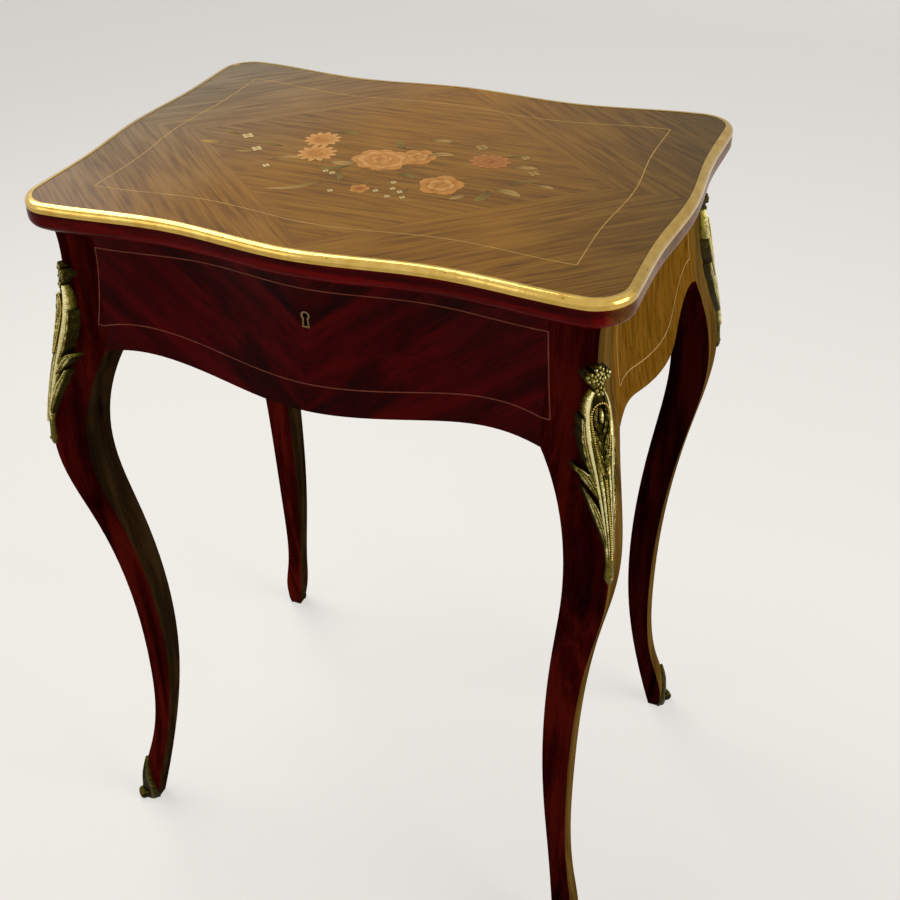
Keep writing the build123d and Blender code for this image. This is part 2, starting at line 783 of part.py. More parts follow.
for name, corner in corners.items():
    with BuildPart() as chute:
        add(front_right_chute.part)
        at_corner(*corner)
    save(chute, f"chute_{name}")
    with BuildPart() as sabot:
        add(front_right_sabot.part)
        at_corner(*corner)
    save(sabot, f"sabot_{name}")
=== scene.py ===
"""Looks of a poudreuse, a small lift-top dressing table in rosewood marquetry with gilt-brass
mounts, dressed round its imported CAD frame. Blender works in metres; sizes here are millimetres
wherever a name or a comment says so. +X is to the right, +Y to the back, the front faces -Y.
"""

from math import atan2, cos, exp, hypot, pi, radians, sin, sqrt

import bmesh
import bpy
import numpy as np
from mathutils import Matrix, Vector
from mathutils.bvhtree import BVHTree


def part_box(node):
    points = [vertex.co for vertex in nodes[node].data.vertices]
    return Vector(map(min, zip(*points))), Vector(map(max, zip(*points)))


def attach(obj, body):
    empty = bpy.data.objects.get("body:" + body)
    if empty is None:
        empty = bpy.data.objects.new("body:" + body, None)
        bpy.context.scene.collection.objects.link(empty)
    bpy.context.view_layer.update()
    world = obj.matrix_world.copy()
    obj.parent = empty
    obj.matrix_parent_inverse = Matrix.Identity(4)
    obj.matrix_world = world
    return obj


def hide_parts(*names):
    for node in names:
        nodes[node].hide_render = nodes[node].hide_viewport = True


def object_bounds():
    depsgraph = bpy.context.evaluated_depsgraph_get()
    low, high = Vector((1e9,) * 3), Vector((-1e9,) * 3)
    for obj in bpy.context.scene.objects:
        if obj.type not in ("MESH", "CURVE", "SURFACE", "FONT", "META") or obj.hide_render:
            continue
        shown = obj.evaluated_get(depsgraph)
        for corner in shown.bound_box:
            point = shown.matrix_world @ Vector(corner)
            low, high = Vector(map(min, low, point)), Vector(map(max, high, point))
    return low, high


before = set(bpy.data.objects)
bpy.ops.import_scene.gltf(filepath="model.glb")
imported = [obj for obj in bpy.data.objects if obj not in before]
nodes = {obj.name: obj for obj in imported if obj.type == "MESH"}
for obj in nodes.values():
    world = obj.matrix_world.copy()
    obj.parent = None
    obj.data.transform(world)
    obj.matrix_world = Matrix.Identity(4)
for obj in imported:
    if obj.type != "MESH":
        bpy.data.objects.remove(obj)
cad_box = [list(corner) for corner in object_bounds()]

# ---------------------------------------------------------------- room
# The table stands on a plain pale floor that curves up into a pale wall behind it.
# Two wide soft windows light it from the right and the left, and its front stays darker.
MM = 0.001
collection = bpy.context.scene.collection


def tone(code):
    """An sRGB hex colour as linear red, green, blue, alpha."""
    channels = [int(code[i : i + 2], 16) / 255 for i in (1, 3, 5)]
    return [c / 12.92 if c <= 0.04045 else ((c + 0.055) / 1.055) ** 2.4 for c in channels] + [1.0]


def put(tree, kind, inputs=None, **settings):
    """Add a node with its settings; an input takes a value, a socket or a node's first output."""
    made = tree.nodes.new(kind)
    for name, value in settings.items():
        setattr(made, name, value)
    for name, value in (inputs or {}).items():
        if isinstance(value, bpy.types.Node):
            value = value.outputs[0]
        if isinstance(value, bpy.types.NodeSocket):
            tree.links.new(value, made.inputs[name])
        else:
            made.inputs[name].default_value = value
    return made


def new_finish(name):
    """An empty material, its node tree, and the Object coordinates that its patterns follow."""
    material = bpy.data.materials.new(name)
    material.use_nodes = True
    tree = material.node_tree
    tree.nodes.clear()
    return material, tree, put(tree, "ShaderNodeTexCoord").outputs["Object"]


def seen_rays(tree):
    """1 for camera, mirror and glass rays, 0 for the rays that light the table."""
    ray = put(tree, "ShaderNodeLightPath").outputs
    seen = ray["Is Camera Ray"]
    for other in (ray["Is Glossy Ray"], ray["Is Transmission Ray"]):
        seen = put(tree, "ShaderNodeMath", {0: seen, 1: other}, operation="MAXIMUM")
    return seen


painted_room, tree, _ = new_finish("matt_painted_room")
diffuse = put(tree, "ShaderNodeBsdfDiffuse", {"Color": tone("#E6E1D8")})
glow = put(tree, "ShaderNodeEmission", {"Color": tone("#F6F4F0"), "Strength": 1.0})
glow_in_view = 0.6  # keeps the floor and the wall pale in the picture
lifted = put(tree, "ShaderNodeMath", {0: seen_rays(tree), 1: glow_in_view}, operation="MULTIPLY")
mixed = put(tree, "ShaderNodeMixShader", {0: lifted, 1: diffuse, 2: glow})
put(tree, "ShaderNodeOutputMaterial", {"Surface": mixed})

# metres; section is the line of floor, bend and wall as (y, z)
floor_reach, wall_start, bend_radius, wall_height = 3.2, 2.7, 0.5, 3.0
section = [(-floor_reach, 0.0), (wall_start, 0.0)]
for angle in np.linspace(0, pi / 2, 13)[1:]:
    section.append((wall_start + bend_radius * sin(angle), bend_radius * (1 - cos(angle))))
section.append((wall_start + bend_radius, wall_height))
room_mesh = bpy.data.meshes.new("room")
room_points = [(x, y, z) for y, z in section for x in (-floor_reach, floor_reach)]
room_faces = [(2 * i, 2 * i + 1, 2 * i + 3, 2 * i + 2) for i in range(len(section) - 1)]
room_mesh.from_pydata(room_points, [], room_faces)
room_mesh.shade_smooth()
room_mesh.materials.append(painted_room)
room = bpy.data.objects.new("room", room_mesh)
collection.objects.link(room)

world = bpy.data.worlds.new("pale_room_light")
world.use_nodes = True
tree = world.node_tree
tree.nodes.clear()
light_on_table, light_in_view = 0.24, 1.0
sky = put(tree, "ShaderNodeBackground", {"Color": tone("#FFFFFF"), "Strength": light_on_table})
white = put(tree, "ShaderNodeBackground", {"Color": tone("#FFFFFF"), "Strength": light_in_view})
mixed = put(tree, "ShaderNodeMixShader", {0: seen_rays(tree), 1: sky, 2: white})
put(tree, "ShaderNodeOutputWorld", {"Surface": mixed})
bpy.context.scene.world = world

# place and side in metres and power in watts of each lamp, aimed at the table's middle
lamps = {
    "window_right": ((2.1, -0.1, 1.2), 1.4, 34),
    "window_left": ((-0.9, 0.3, 1.8), 1.2, 25),
    "room_front": ((-1.5, -1.9, 1.5), 1.3, 6),
}
table_middle = Vector((0, 0, 0.45))
for name, (place, size, power) in lamps.items():
    light = bpy.data.lights.new(name, "AREA")
    light.shape = "SQUARE"
    light.size = size
    light.energy = power
    lamp = bpy.data.objects.new(name, light)
    lamp.location = place
    lamp.rotation_euler = (table_middle - Vector(place)).to_track_quat("-Z", "Y").to_euler()
    collection.objects.link(lamp)

camera_place = (0.41858, -0.89398, 1.12366)
yaw, dip, roll = (radians(a) for a in (-25.37, 35.57, -2.42))
ahead = Vector((sin(yaw) * cos(dip), cos(yaw) * cos(dip), -sin(dip)))
level = Vector((cos(yaw), -sin(yaw), 0))
above = level.cross(ahead)
right = level * cos(roll) + above * sin(roll)
up = above * cos(roll) - level * sin(roll)
camera_data = bpy.data.cameras.new("camera")
camera_data.lens = 50.06
camera_data.shift_x, camera_data.shift_y = 0.0590, 0.0032
bpy.context.scene.view_settings.view_transform = "Standard"
camera = bpy.data.objects.new("camera", camera_data)
turned = Matrix((right, up, -ahead)).transposed().to_4x4()
camera.matrix_world = Matrix.Translation(camera_place) @ turned
collection.objects.link(camera)
bpy.context.scene.camera = camera

# ---------------------------------------------------------------- legs and aprons
# Four cabriole legs sawn from the solid and four serpentine aprons tenoned between them, all
# veneered in rosewood and French polished. Shellac gives the dark wood a deep, warm gloss.
corner_signs = {
    "front_left": (-1, -1),
    "front_right": (1, -1),
    "back_left": (-1, 1),
    "back_right": (1, 1),
}


def rosewood(
    name, tones, turn=(0, 0, 0), gloss=0.28, shine=0.12, streak_mm=16.0,
    lit_side_tones=None, shaded_inner_tones=None, matched=False,
):
    """French-polished rosewood veneer: soft dark streaks along the grain and fine open pores.

    tones are dark, middle and light; turn points the grain, which otherwise runs along X;
    streak_mm is the width of a streak; the side tones are lighter tones, painted light, for faces
    that look out to the left or right, and the inner tones are darker tones, painted shade, for
    those that look in towards the middle. Matched veneer is laid in two mirrored leaves that
    meet in the middle of the table.
    """
    material, tree, place = new_finish(name)
    laid = put(tree, "ShaderNodeVectorMath", {0: place}, operation="ABSOLUTE") if matched else place
    turned = [radians(a) for a in turn]
    grain = put(tree, "ShaderNodeMapping", {"Vector": laid, "Rotation": turned})
    others = []
    # faces that look out to the sides take the lighter tones as painted light, and faces that look
    # in take the darker tones as painted shade
    for way, way_tones in ((1, lit_side_tones), (-1, shaded_inner_tones)):
        if way_tones is None:
            continue
        facing = put(tree, "ShaderNodeNewGeometry").outputs["Normal"]
        side = put(tree, "ShaderNodeVectorMath", {0: place}, operation="SIGN")
        side = put(tree, "ShaderNodeVectorMath", {0: side, 1: (way, 0, 0)}, operation="MULTIPLY")
        away = put(tree, "ShaderNodeVectorMath", {0: facing, 1: side}, operation="DOT_PRODUCT")
        away = away.outputs["Value"]
        share = put(tree, "ShaderNodeMapRange", {"Value": away, "From Min": 0.5, "From Max": 0.8})
        others.append((share, way_tones))
    return finish_rosewood(material, tree, grain, tones, gloss, shine, streak_mm, others)


def tone_ramp(tree, figure, tones, places=(0.62, 0.82, 1.0)):
    """Dark, middle and light tones at three places along a figure."""
    ramp = put(tree, "ShaderNodeValToRGB", {"Fac": figure})
    stops = ramp.color_ramp.elements
    stops[0].position, stops[0].color = places[0], tone(tones[0])
    stops[1].position, stops[1].color = places[2], tone(tones[2])
    stops.new(places[1]).color = tone(tones[1])
    return ramp


def finish_rosewood(material, tree, grain, tones, gloss, shine, streak_mm, others):
    """Colour, gloss and pores of rosewood, whose grain runs along X of the grain vector.

    others pairs a share from 0 to 1 with the tones that come in with it.
    """
    pore_mm = 1.6  # a real pore is 0.2 mm wide, too fine to show
    along_grain = 0.05  # streaks and pores are twenty times as long as they are wide
    stretch = {0: grain, 1: (along_grain, 1.0, 1.0)}
    stretch = put(tree, "ShaderNodeVectorMath", stretch, operation="MULTIPLY")
    streaks = {"Vector": stretch, "Scale": 1000 / streak_mm, "Detail": 5.0, "Distortion": 0.7}
    streaks = put(tree, "ShaderNodeTexNoise", streaks)
    pores = {"Vector": stretch, "Scale": 1000 / pore_mm, "Detail": 2.0, "Roughness": 0.6}
    pores = put(tree, "ShaderNodeTexNoise", pores)
    clouds = put(tree, "ShaderNodeTexNoise", {"Vector": grain, "Scale": 11.0, "Detail": 2.0})
    fine = put(tree, "ShaderNodeMath", {0: pores, 1: 0.35}, operation="MULTIPLY")
    broad = put(tree, "ShaderNodeMath", {0: streaks, 1: 1.05, 2: fine}, operation="MULTIPLY_ADD")
    figure = put(tree, "ShaderNodeMath", {0: clouds, 1: 0.35, 2: broad}, operation="MULTIPLY_ADD")
    colour = tone_ramp(tree, figure, tones)
    for share, other_tones in others:
        other = tone_ramp(tree, figure, other_tones)
        colour = put(tree, "ShaderNodeMixRGB", {"Fac": share, "Color1": colour, "Color2": other})
    worn = {"Value": clouds, "To Min": gloss * 0.8, "To Max": gloss * 1.3}
    worn = put(tree, "ShaderNodeMapRange", worn)
    bump = put(tree, "ShaderNodeBump", {"Height": pores, "Strength": 0.12, "Distance": 0.0002})
    coat = {"Base Color": colour, "Roughness": worn, "Normal": bump, "Specular IOR Level": shine}
    shader = put(tree, "ShaderNodeBsdfPrincipled", coat)
    put(tree, "ShaderNodeOutputMaterial", {"Surface": shader})
    return material


def mesh_tree(name, *numbers):
    """A tree with geometry in and out and named number inputs; returns their identifiers too."""
    tree = bpy.data.node_groups.new(name, "GeometryNodeTree")
    tree.interface.new_socket("Geometry", in_out="INPUT", socket_type="NodeSocketGeometry")
    sockets = [
        tree.interface.new_socket(number, in_out="INPUT", socket_type="NodeSocketFloat")
        for number in numbers
    ]
    tree.interface.new_socket("Geometry", in_out="OUTPUT", socket_type="NodeSocketGeometry")
    return tree, *(socket.identifier for socket in sockets)


# welds a mesh and shades it smooth, with sharp edges past an angle
weld_reach = 0.00001
smoother, sharp_socket = mesh_tree("smooth_by_angle", "Sharp from")
given = put(smoother, "NodeGroupInput").outputs
welded = {"Geometry": given[0], "Distance": weld_reach}
welded = put(smoother, "GeometryNodeMergeByDistance", welded)
smooth = put(smoother, "GeometryNodeSetShadeSmooth", {"Geometry": welded}, domain="FACE")
fold = put(smoother, "GeometryNodeInputMeshEdgeAngle").outputs["Unsigned Angle"]
sharp = put(smoother, "FunctionNodeCompare", {0: fold, 1: given[1]}, operation="GREATER_THAN")
edged = {"Geometry": smooth, "Selection": sharp, "Shade Smooth": False}
edged = put(smoother, "GeometryNodeSetShadeSmooth", edged, domain="EDGE")
put(smoother, "NodeGroupOutput", {0: edged})


def dress(name, material, edge_mm=0.0, sharp_from=32.0):
    """Give a CAD node its finish, smooth curved faces and, where edge_mm is set, eased edges."""
    node = nodes[name]
    node.data.materials.clear()
    node.data.materials.append(material)
    if edge_mm:
        weld = node.modifiers.new("weld", "WELD")
        weld.merge_threshold = weld_reach
        bevel = node.modifiers.new("eased_edges", "BEVEL")
        bevel.width = edge_mm * MM
        bevel.segments = 2
        bevel.limit_method = "ANGLE"
        bevel.angle_limit = radians(50)
        bevel.use_clamp_overlap = True
    smooth = node.modifiers.new("smooth", "NODES")
    smooth.node_group = smoother
    smooth[sharp_socket] = radians(sharp_from)


# the faces of the legs that look out to the sides are painted in lighter golden browns as painted
# light from the side windows, and those that look in are painted darker as painted shade
leg_finish = {
    "turn": (0, 90, 0),
    "shine": 0.0,
    "lit_side_tones": ("#3F2B10", "#523A16", "#664C20"),
    "shaded_inner_tones": ("#120B05", "#24180A", "#342512"),
}
leg_wood = rosewood("rosewood_legs", ("#180202", "#360705", "#54120A"), **leg_finish)
shaded_back_leg_wood = rosewood("rosewood_dark_leg", ("#0A0000", "#1A0201", "#300805"), **leg_finish)
front_tones = ("#120101", "#340202", "#520505")
front_wood = rosewood(
    "rosewood_front", front_tones, turn=(0, 38, 0), shine=0.03, streak_mm=26, matched=True
)
# the side aprons are painted in lighter golden browns than the front, as painted light from the
# side windows
lit_side_tones = ("#4A2F0A", "#5E3E0C", "#704C14")
lit_side_wood = rosewood("rosewood_sides", lit_side_tones, turn=(0, 90, 0), streak_mm=5, shine=0.0)
for name in corner_signs:
    # the back right leg is painted darker, as painted shade under the table
    dress(f"leg_{name}", shaded_back_leg_wood if name == "back_right" else leg_wood, edge_mm=0.8)
dress("apron_front", front_wood)
dress("apron_back", leg_wood)
for side in ("left", "right"):
    dress(f"apron_{side}", lit_side_wood)

# ---------------------------------------------------------------- stringing on the aprons
# Fine boxwood lines let into the veneer of the front and the sides: a panel whose lower line
# runs along above the scalloped edge. Under the dark polish they look pinkish.
string_width, string_proud, string_sunk = 0.9, 0.06, 0.3


def string_wood(name, shade, bright):
    """Close pale wood with short flecks, under a thin polish."""
    material, tree, place = new_finish(name)
    flecks = put(tree, "ShaderNodeTexNoise", {"Vector": place, "Scale": 160.0, "Detail": 2.0})
    colour = {"Fac": flecks, "Color1": tone(shade), "Color2": tone(bright)}
    colour = put(tree, "ShaderNodeMixRGB", colour)
    polished = {"Base Color": colour, "Roughness": 0.4, "Specular IOR Level": 0.1}
    shader = put(tree, "ShaderNodeBsdfPrincipled", polished)
    put(tree, "ShaderNodeOutputMaterial", {"Surface": shader})
    return material


boxwood = string_wood("boxwood_stringing", "#86602C", "#BC9654")
stained_boxwood = string_wood("boxwood_stringing_under_red_polish", "#5E241E", "#98543E")


def add_piece(name, points, faces, material, body, slot, stands_for=(), sharp_from=40.0, scale=MM):
    """Make a mesh piece of the table, in mm, and let it ride on its body."""
    mesh = bpy.data.meshes.new(name)
    mesh.from_pydata([Vector(p) * scale for p in points], [], faces)
    shell = bmesh.new()
    shell.from_mesh(mesh)
    bmesh.ops.recalc_face_normals(shell, faces=shell.faces)
    shell.to_mesh(mesh)
    shell.free()
    mesh.shade_smooth()
    mesh.set_sharp_from_angle(angle=radians(sharp_from))
    mesh.materials.append(material)
    made = bpy.data.objects.new(name, mesh)
    collection.objects.link(made)
    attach(made, body)
    if stands_for:
        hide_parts(*stands_for)
    return made


def surface_of(*names):
    """The faces of CAD nodes, ready to be met by rays."""
    corners, triangles = [], []
    for name in names:
        mesh = nodes[name].data
        mesh.calc_loop_triangles()
        start = len(corners)
        corners += [v.co.copy() for v in mesh.vertices]
        triangles += [tuple(start + i for i in t.vertices) for t in mesh.loop_triangles]
    return BVHTree.FromPolygons(corners, triangles)


def skin(rings, around):
    """Faces of a closed skin over rings of points, with a cap at each end."""
    last = around * (rings - 1)
    faces = []
    for low in range(0, last, around):
        for j in range(around):
            k = (j + 1) % around
            faces.append((low + j, low + k, low + around + k, low + around + j))
    return faces + [tuple(range(around)), tuple(range(last, last + around))]


def strip(path, out, width, proud, sunk):
    """Points and faces of a thin closed strip along a path; out points away from the wood."""
    points = []
    for i, point in enumerate(path):
        along = (path[min(i + 1, len(path) - 1)] - path[max(i - 1, 0)]).normalized()
        across = along.cross(out[i]).normalized() * width / 2
        for side, lift in ((-1, -sunk), (-1, proud), (1, proud), (1, -sunk)):
            points.append(point + across * side + out[i] * lift)
    return points, skin(len(path), 4)


def gather(parts):
    """Join several (points, faces) into one."""
    points, faces = [], []
    for part_points, part_faces in parts:
        start = len(points)
        points += part_points
        faces += [tuple(start + i for i in face) for face in part_faces]
    return points, faces


def scallop_line(node, along, spread):
    """Lowest height of an apron's edge beside each place along it, read from its flat back."""
    axis, other = (0, 1) if along == "x" else (1, 0)
    corners = np.array([v.co for v in nodes[node].data.vertices])
    flat = np.abs(corners[:, other]).min()
    back = corners[np.abs(np.abs(corners[:, other]) - flat) < 1e-5]
    places = np.round(back[:, axis], 5)
    edge = back[:, 2] < back[:, 2].min() + 20 * MM  # the scallop, below the lock's pocket
    kept = sorted(set(places[edge]))
    heights = [back[edge & (places == p)][:, 2].min() for p in kept]
    return np.interp(spread, kept, heights)


def lines_on_apron(name, along, panel_lines, wood):
    """Let polylines of (place along, height) in metres into the outer face of an apron."""
    node = f"apron_{name}"
    surface = surface_of(node, *(f"leg_{corner}" for corner in corner_signs))
    low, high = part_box(node)
    outward = Vector((0, -1 if (low.y + high.y) < 0 else 1, 0))
    if along == "y":
        outward = Vector((-1 if (low.x + high.x) < 0 else 1, 0, 0))
    parts = []
    for line in panel_lines:
        path, normals = [], []
        for place, height in line:
            start = Vector((place, 0, height)) if along == "x" else Vector((0, place, height))
            hit, normal, _, _ = surface.ray_cast(start + outward, -outward)
            if hit is None:
                continue
            path.append(hit)
            normals.append(normal if normal.dot(outward) > 0 else -normal)
        sizes = (size * MM for size in (string_width, string_proud, string_sunk))
        parts.append(strip(path, normals, *sizes))
    string = (f"stringing_{name}", *gather(parts), wood)
    add_piece(*string, "carcass", "marquetry_veneer", scale=1.0)


# in metres: the panel's place on the front, which widens towards its foot, over the posts
below_lid, above_edge, from_post = 0.0163, 0.0225, 0.012
top_reach, foot_reach = 0.1918, 0.1979
string_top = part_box("apron_front")[1].z - below_lid
places = np.linspace(-foot_reach, foot_reach, 61)
lower_edge = scallop_line("apron_front", "x", places) + above_edge
front_lines = [
    [(p, string_top) for p in np.linspace(-top_reach, top_reach, 61)],
    list(zip(places, lower_edge)),
]
foot_drop, foot_spread = lower_edge[0] - string_top, foot_reach - top_reach
for side in (-1, 1):
    front_lines.append([
        (side * (top_reach + foot_spread * s**1.6), string_top + foot_drop * s)
        for s in np.linspace(0, 1, 13)
    ])
lines_on_apron("front", "x", front_lines, stained_boxwood)
for side in ("left", "right"):
    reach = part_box(f"apron_{side}")[1].y - from_post
    places = np.linspace(-reach, reach, 41)
    lower_edge = scallop_line(f"apron_{side}", "y", places) + above_edge
    side_lines = [[(p, string_top) for p in places], list(zip(places, lower_edge))]
    for end, foot in ((reach, lower_edge[-1]), (-reach, lower_edge[0])):
        side_lines.append([(end, h) for h in np.linspace(string_top, foot, 9)])
    lines_on_apron(side, "y", side_lines, boxwood)

# ---------------------------------------------------------------- inside of the carcass
# Bottom board, ledges and dividers of plain polished beech stained to a warm brown.
# The wood is close and even, with short flecks along its grain.
lining, tree, place = new_finish("stained_beech_lining")
stretched = put(tree, "ShaderNodeMapping", {"Vector": place, "Scale": (0.08, 1.0, 1.0)})
grain = put(tree, "ShaderNodeTexNoise", {"Vector": stretched, "Scale": 240.0, "Detail": 4.0})
ramp = put(tree, "ShaderNodeValToRGB", {"Fac": grain})
ramp.color_ramp.elements[0].color = tone("#5C3A22")
ramp.color_ramp.elements[1].color = tone("#A6784C")
bump = put(tree, "ShaderNodeBump", {"Height": grain, "Strength": 0.15, "Distance": 0.0002})
polished = {"Base Color": ramp, "Roughness": 0.5, "Normal": bump}
shader = put(tree, "ShaderNodeBsdfPrincipled", polished)
put(tree, "ShaderNodeOutputMaterial", {"Surface": shader})
for name in ("bottom_board", "bottom_ledges", "divider_left", "divider_right", "divider_middle"):
    dress(name, lining, edge_mm=0.5)

# ---------------------------------------------------------------- lock, hinges and screws
# A steel box lock let into the front with a thread escutcheon, brass butt hinges at the back
# and brass wood screws, all filed flat and a little dulled by handling.


def worn_metal(name, shade, bright, roughness, grain_mm):
    """Filed and handled metal: small scratches and duller patches."""
    material, tree, place = new_finish(name)
    patches = put(tree, "ShaderNodeTexNoise", {"Vector": place, "Scale": 90.0, "Detail": 4.0})
    scratches = {"Vector": place, "Scale": 1000 / grain_mm, "Detail": 1.0}
    scratches = put(tree, "ShaderNodeTexNoise", scratches)
    colour = {"Fac": patches, "Color1": tone(shade), "Color2": tone(bright)}
    colour = put(tree, "ShaderNodeMixRGB", colour)
    dull = {"Value": patches, "To Min": roughness * 1.35, "To Max": roughness * 0.75}
    dull = put(tree, "ShaderNodeMapRange", dull)
    bump = put(tree, "ShaderNodeBump", {"Height": scratches, "Strength": 0.1, "Distance": 0.0001})
    filed = {"Base Color": colour, "Metallic": 1.0, "Roughness": dull, "Normal": bump}
    shader = put(tree, "ShaderNodeBsdfPrincipled", filed)
    put(tree, "ShaderNodeOutputMaterial", {"Surface": shader})
    return material


plain_brass = worn_metal("filed_brass", "#8A6A34", "#C8A45C", 0.34, 1.2)
lock_steel = worn_metal("filed_steel", "#56534F", "#8C8982", 0.38, 1.0)
for name in ("lock_case", "lock_faceplate", "lock_bolt"):
    dress(name, lock_steel, edge_mm=0.15)
for name in ("hinge_lower_leaf", "hinge_upper_leaf", "hinge_pin"):
    for side in ("left", "right"):
        dress(f"{name}_{side}", plain_brass)
dress("link_plate", plain_brass)
for name in ("lock", "hinge_lower", "hinge_upper", "link_plate"):
    dress(f"{name}_screws", plain_brass)
dress("keyhole_escutcheon", worn_metal("tarnished_brass", "#5A4228", "#94744C", 0.42, 1.2))

# ---------------------------------------------------------------- mirror
# Silvered plate glass under the lid in a narrow moulded rosewood frame.
# Old silvering is a little grey, with faint cloudy spots near its edge.
silvering, tree, place = new_finish("silvered_plate_glass")
spots = put(tree, "ShaderNodeTexNoise", {"Vector": place, "Scale": 24.0, "Detail": 6.0})
rough = put(tree, "ShaderNodeMapRange", {"Value": spots, "From Min": 0.55, "To Max": 0.12})
colour = {"Fac": spots, "Color1": tone("#E6E8E6"), "Color2": tone("#D2D6D2")}
colour = put(tree, "ShaderNodeMixRGB", colour)
mirror = {"Base Color": colour, "Metallic": 1.0, "Roughness": rough}
shader = put(tree, "ShaderNodeBsdfPrincipled", mirror)
put(tree, "ShaderNodeOutputMaterial", {"Surface": shader})
dress("mirror_glass", silvering)
dress("mirror_frame", rosewood("rosewood_mirror_frame", ("#220A08", "#4A1A10", "#6E2E1A")))

# ---------------------------------------------------------------- lid
# A rosewood board with a rounded moulding below and a gilt-brass bullnose pinned round its
# edge. The bullnose is polished by hands and dusters; its pins are filed flush with it.
# the moulding's faces that look out to the sides take lighter tones, as painted light
lid_edge_wood = rosewood(
    "rosewood_lid_moulding",
    ("#240101", "#4A0404", "#6E0808"),
    gloss=0.22,
    shine=0.03,
    lit_side_tones=("#3C1A0A", "#52300F", "#664018"),
)
dress("lid_board", lid_edge_wood)
dress("lid_edge_band", worn_metal("polished_gilt_brass", "#A87E24", "#E4C470", 0.14, 2.0))


def outline_of(name, height):
    """A node's outer edge at a height, in mm, anticlockwise from the right."""
    corners = np.array([v.co for v in nodes[name].data.vertices]) / MM
    level_with = corners[np.abs(corners[:, 2] - height) < 0.01][:, :2]
    turned_by = np.round(np.arctan2(level_with[:, 1], level_with[:, 0]), 5)
    _, first = np.unique(turned_by, return_index=True)
    return level_with[first]


def beads_along(name, paths, radius_mm, spacing_mm, material, body):
    """Small round beads set along open paths in mm, by geometry nodes."""
    curve = bpy.data.curves.new(name, "CURVE")
    curve.dimensions = "3D"
    for path in paths:
        line = curve.splines.new("POLY")
        line.points.add(len(path) - 1)
        for point, place in zip(line.points, path):
            point.co = (*(Vector(place) * MM), 1.0)
    thread = bpy.data.objects.new(name + "_thread", curve)
    collection.objects.link(thread)
    tree, radius, spacing = mesh_tree(name, "Bead radius", "Bead spacing")
    given = put(tree, "NodeGroupInput").outputs
    steps = {"Curve": given[0], "Length": given[2]}
    steps = put(tree, "GeometryNodeResampleCurve", steps, mode="LENGTH")
    bead = put(tree, "GeometryNodeMeshIcoSphere", {"Radius": given[1], "Subdivisions": 2})
    beads = put(tree, "GeometryNodeInstanceOnPoints", {"Points": steps, "Instance": bead})
    real = put(tree, "GeometryNodeRealizeInstances", {"Geometry": beads})
    finished = put(tree, "GeometryNodeSetMaterial", {"Geometry": real, "Material": material})
    put(tree, "NodeGroupOutput", {0: finished})
    modifier = thread.modifiers.new("beads", "NODES")
    modifier.node_group = tree
    modifier[radius] = radius_mm * MM
    modifier[spacing] = spacing_mm * MM
    evaluated = thread.evaluated_get(bpy.context.evaluated_depsgraph_get())
    mesh = bpy.data.meshes.new_from_object(evaluated)
    bpy.data.objects.remove(thread)
    mesh.shade_smooth()
    made = bpy.data.objects.new(name, mesh)
    collection.objects.link(made)
    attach(made, body)


# sizes from here on are in mm
lid_top = cad_box[1][2] / MM
veneer_edge = outline_of("top_veneer", lid_top)
# the pins stand just outside the veneer, on the band
neighbours = np.roll(veneer_edge, -1, axis=0) - np.roll(veneer_edge, 1, axis=0)
away = np.stack([neighbours[:, 1], -neighbours[:, 0]], axis=1)
away /= np.linalg.norm(away, axis=1)[:, None]
pin_radius, pin_spacing = 0.8, 88.0
out_on_band, down_on_band = 4.75, 1.75
pins = [(x, y, lid_top - down_on_band) for x, y in veneer_edge + away * out_on_band]
pin_brass = worn_metal("darkened_brass_pins", "#3A2A10", "#6A5020", 0.5, 1.0)
beads_along("band_pins", [pins + pins[:1]], pin_radius, pin_spacing, pin_brass, "lid")

# ---------------------------------------------------------------- top veneer
# Saw-cut rosewood veneer laid round a lozenge, with the grain of its four corner fields
# running along the lozenge's edges; a boxwood line follows the serpentine edge.
lozenge_x, lozenge_y = 186.0, 166.0
panel_x, panel_y = 202.0, 133.2
below_band, sheet_thickness, inlay_depth, string_lift = 0.4, 0.4, 0.4, 0.05
sheet_top = lid_top - below_band


def quartered_rosewood(name, tones, gloss, shine, streak_mm):
    """Rosewood laid in a lozenge and four corner fields, mirrored about the table's middle."""
    material, tree, place = new_finish(name)
    folded = put(tree, "ShaderNodeVectorMath", {0: place}, operation="ABSOLUTE")
    field = {"Vector": folded, "Angle": atan2(lozenge_y, lozenge_x)}
    field = put(tree, "ShaderNodeVectorRotate", field, rotation_type="Z_AXIS")
    shares = {0: folded, 1: (1000 / lozenge_x, 1000 / lozenge_y, 0)}
    shares = put(tree, "ShaderNodeVectorMath", shares, operation="DOT_PRODUCT").outputs["Value"]
    outside = put(tree, "ShaderNodeMath", {0: shares, 1: 1.0}, operation="GREATER_THAN")
    grain = put(tree, "ShaderNodeMix", {0: outside, 4: place, 5: field}, data_type="VECTOR")
    # the left-hand end is painted paler and greyer, as a painted reflection of the pale wall, and
    # the right-hand end is darker
    others = []
    for start, end, lean, end_tones in (
        (-0.06, -0.27, -0.35, ("#544634", "#665640", "#77664C")),
        (0.09, 0.28, 0.35, ("#3C2908", "#4C360A", "#5C4412")),
    ):
        along = {0: place, 1: (1, lean, 0)}
        along = put(tree, "ShaderNodeVectorMath", along, operation="DOT_PRODUCT").outputs["Value"]
        share = {"Value": along, "From Min": start, "From Max": end}
        others.append((put(tree, "ShaderNodeMapRange", share), end_tones))
    grain = grain.outputs[1]
    return finish_rosewood(material, tree, grain, tones, gloss, shine, streak_mm, others)


def plate(outline, bottom, top):
    """A flat closed plate between two heights."""
    return [(x, y, z) for z in (bottom, top) for x, y in outline], skin(2, len(outline))


def wave(share, dip, bow):
    """How far a serpentine side is drawn in; share is 0 at its middle and 1 at its ends."""
    return dip * (1 - cos(2 * pi * share)) / 2 - bow * (1 + cos(pi * share)) / 2


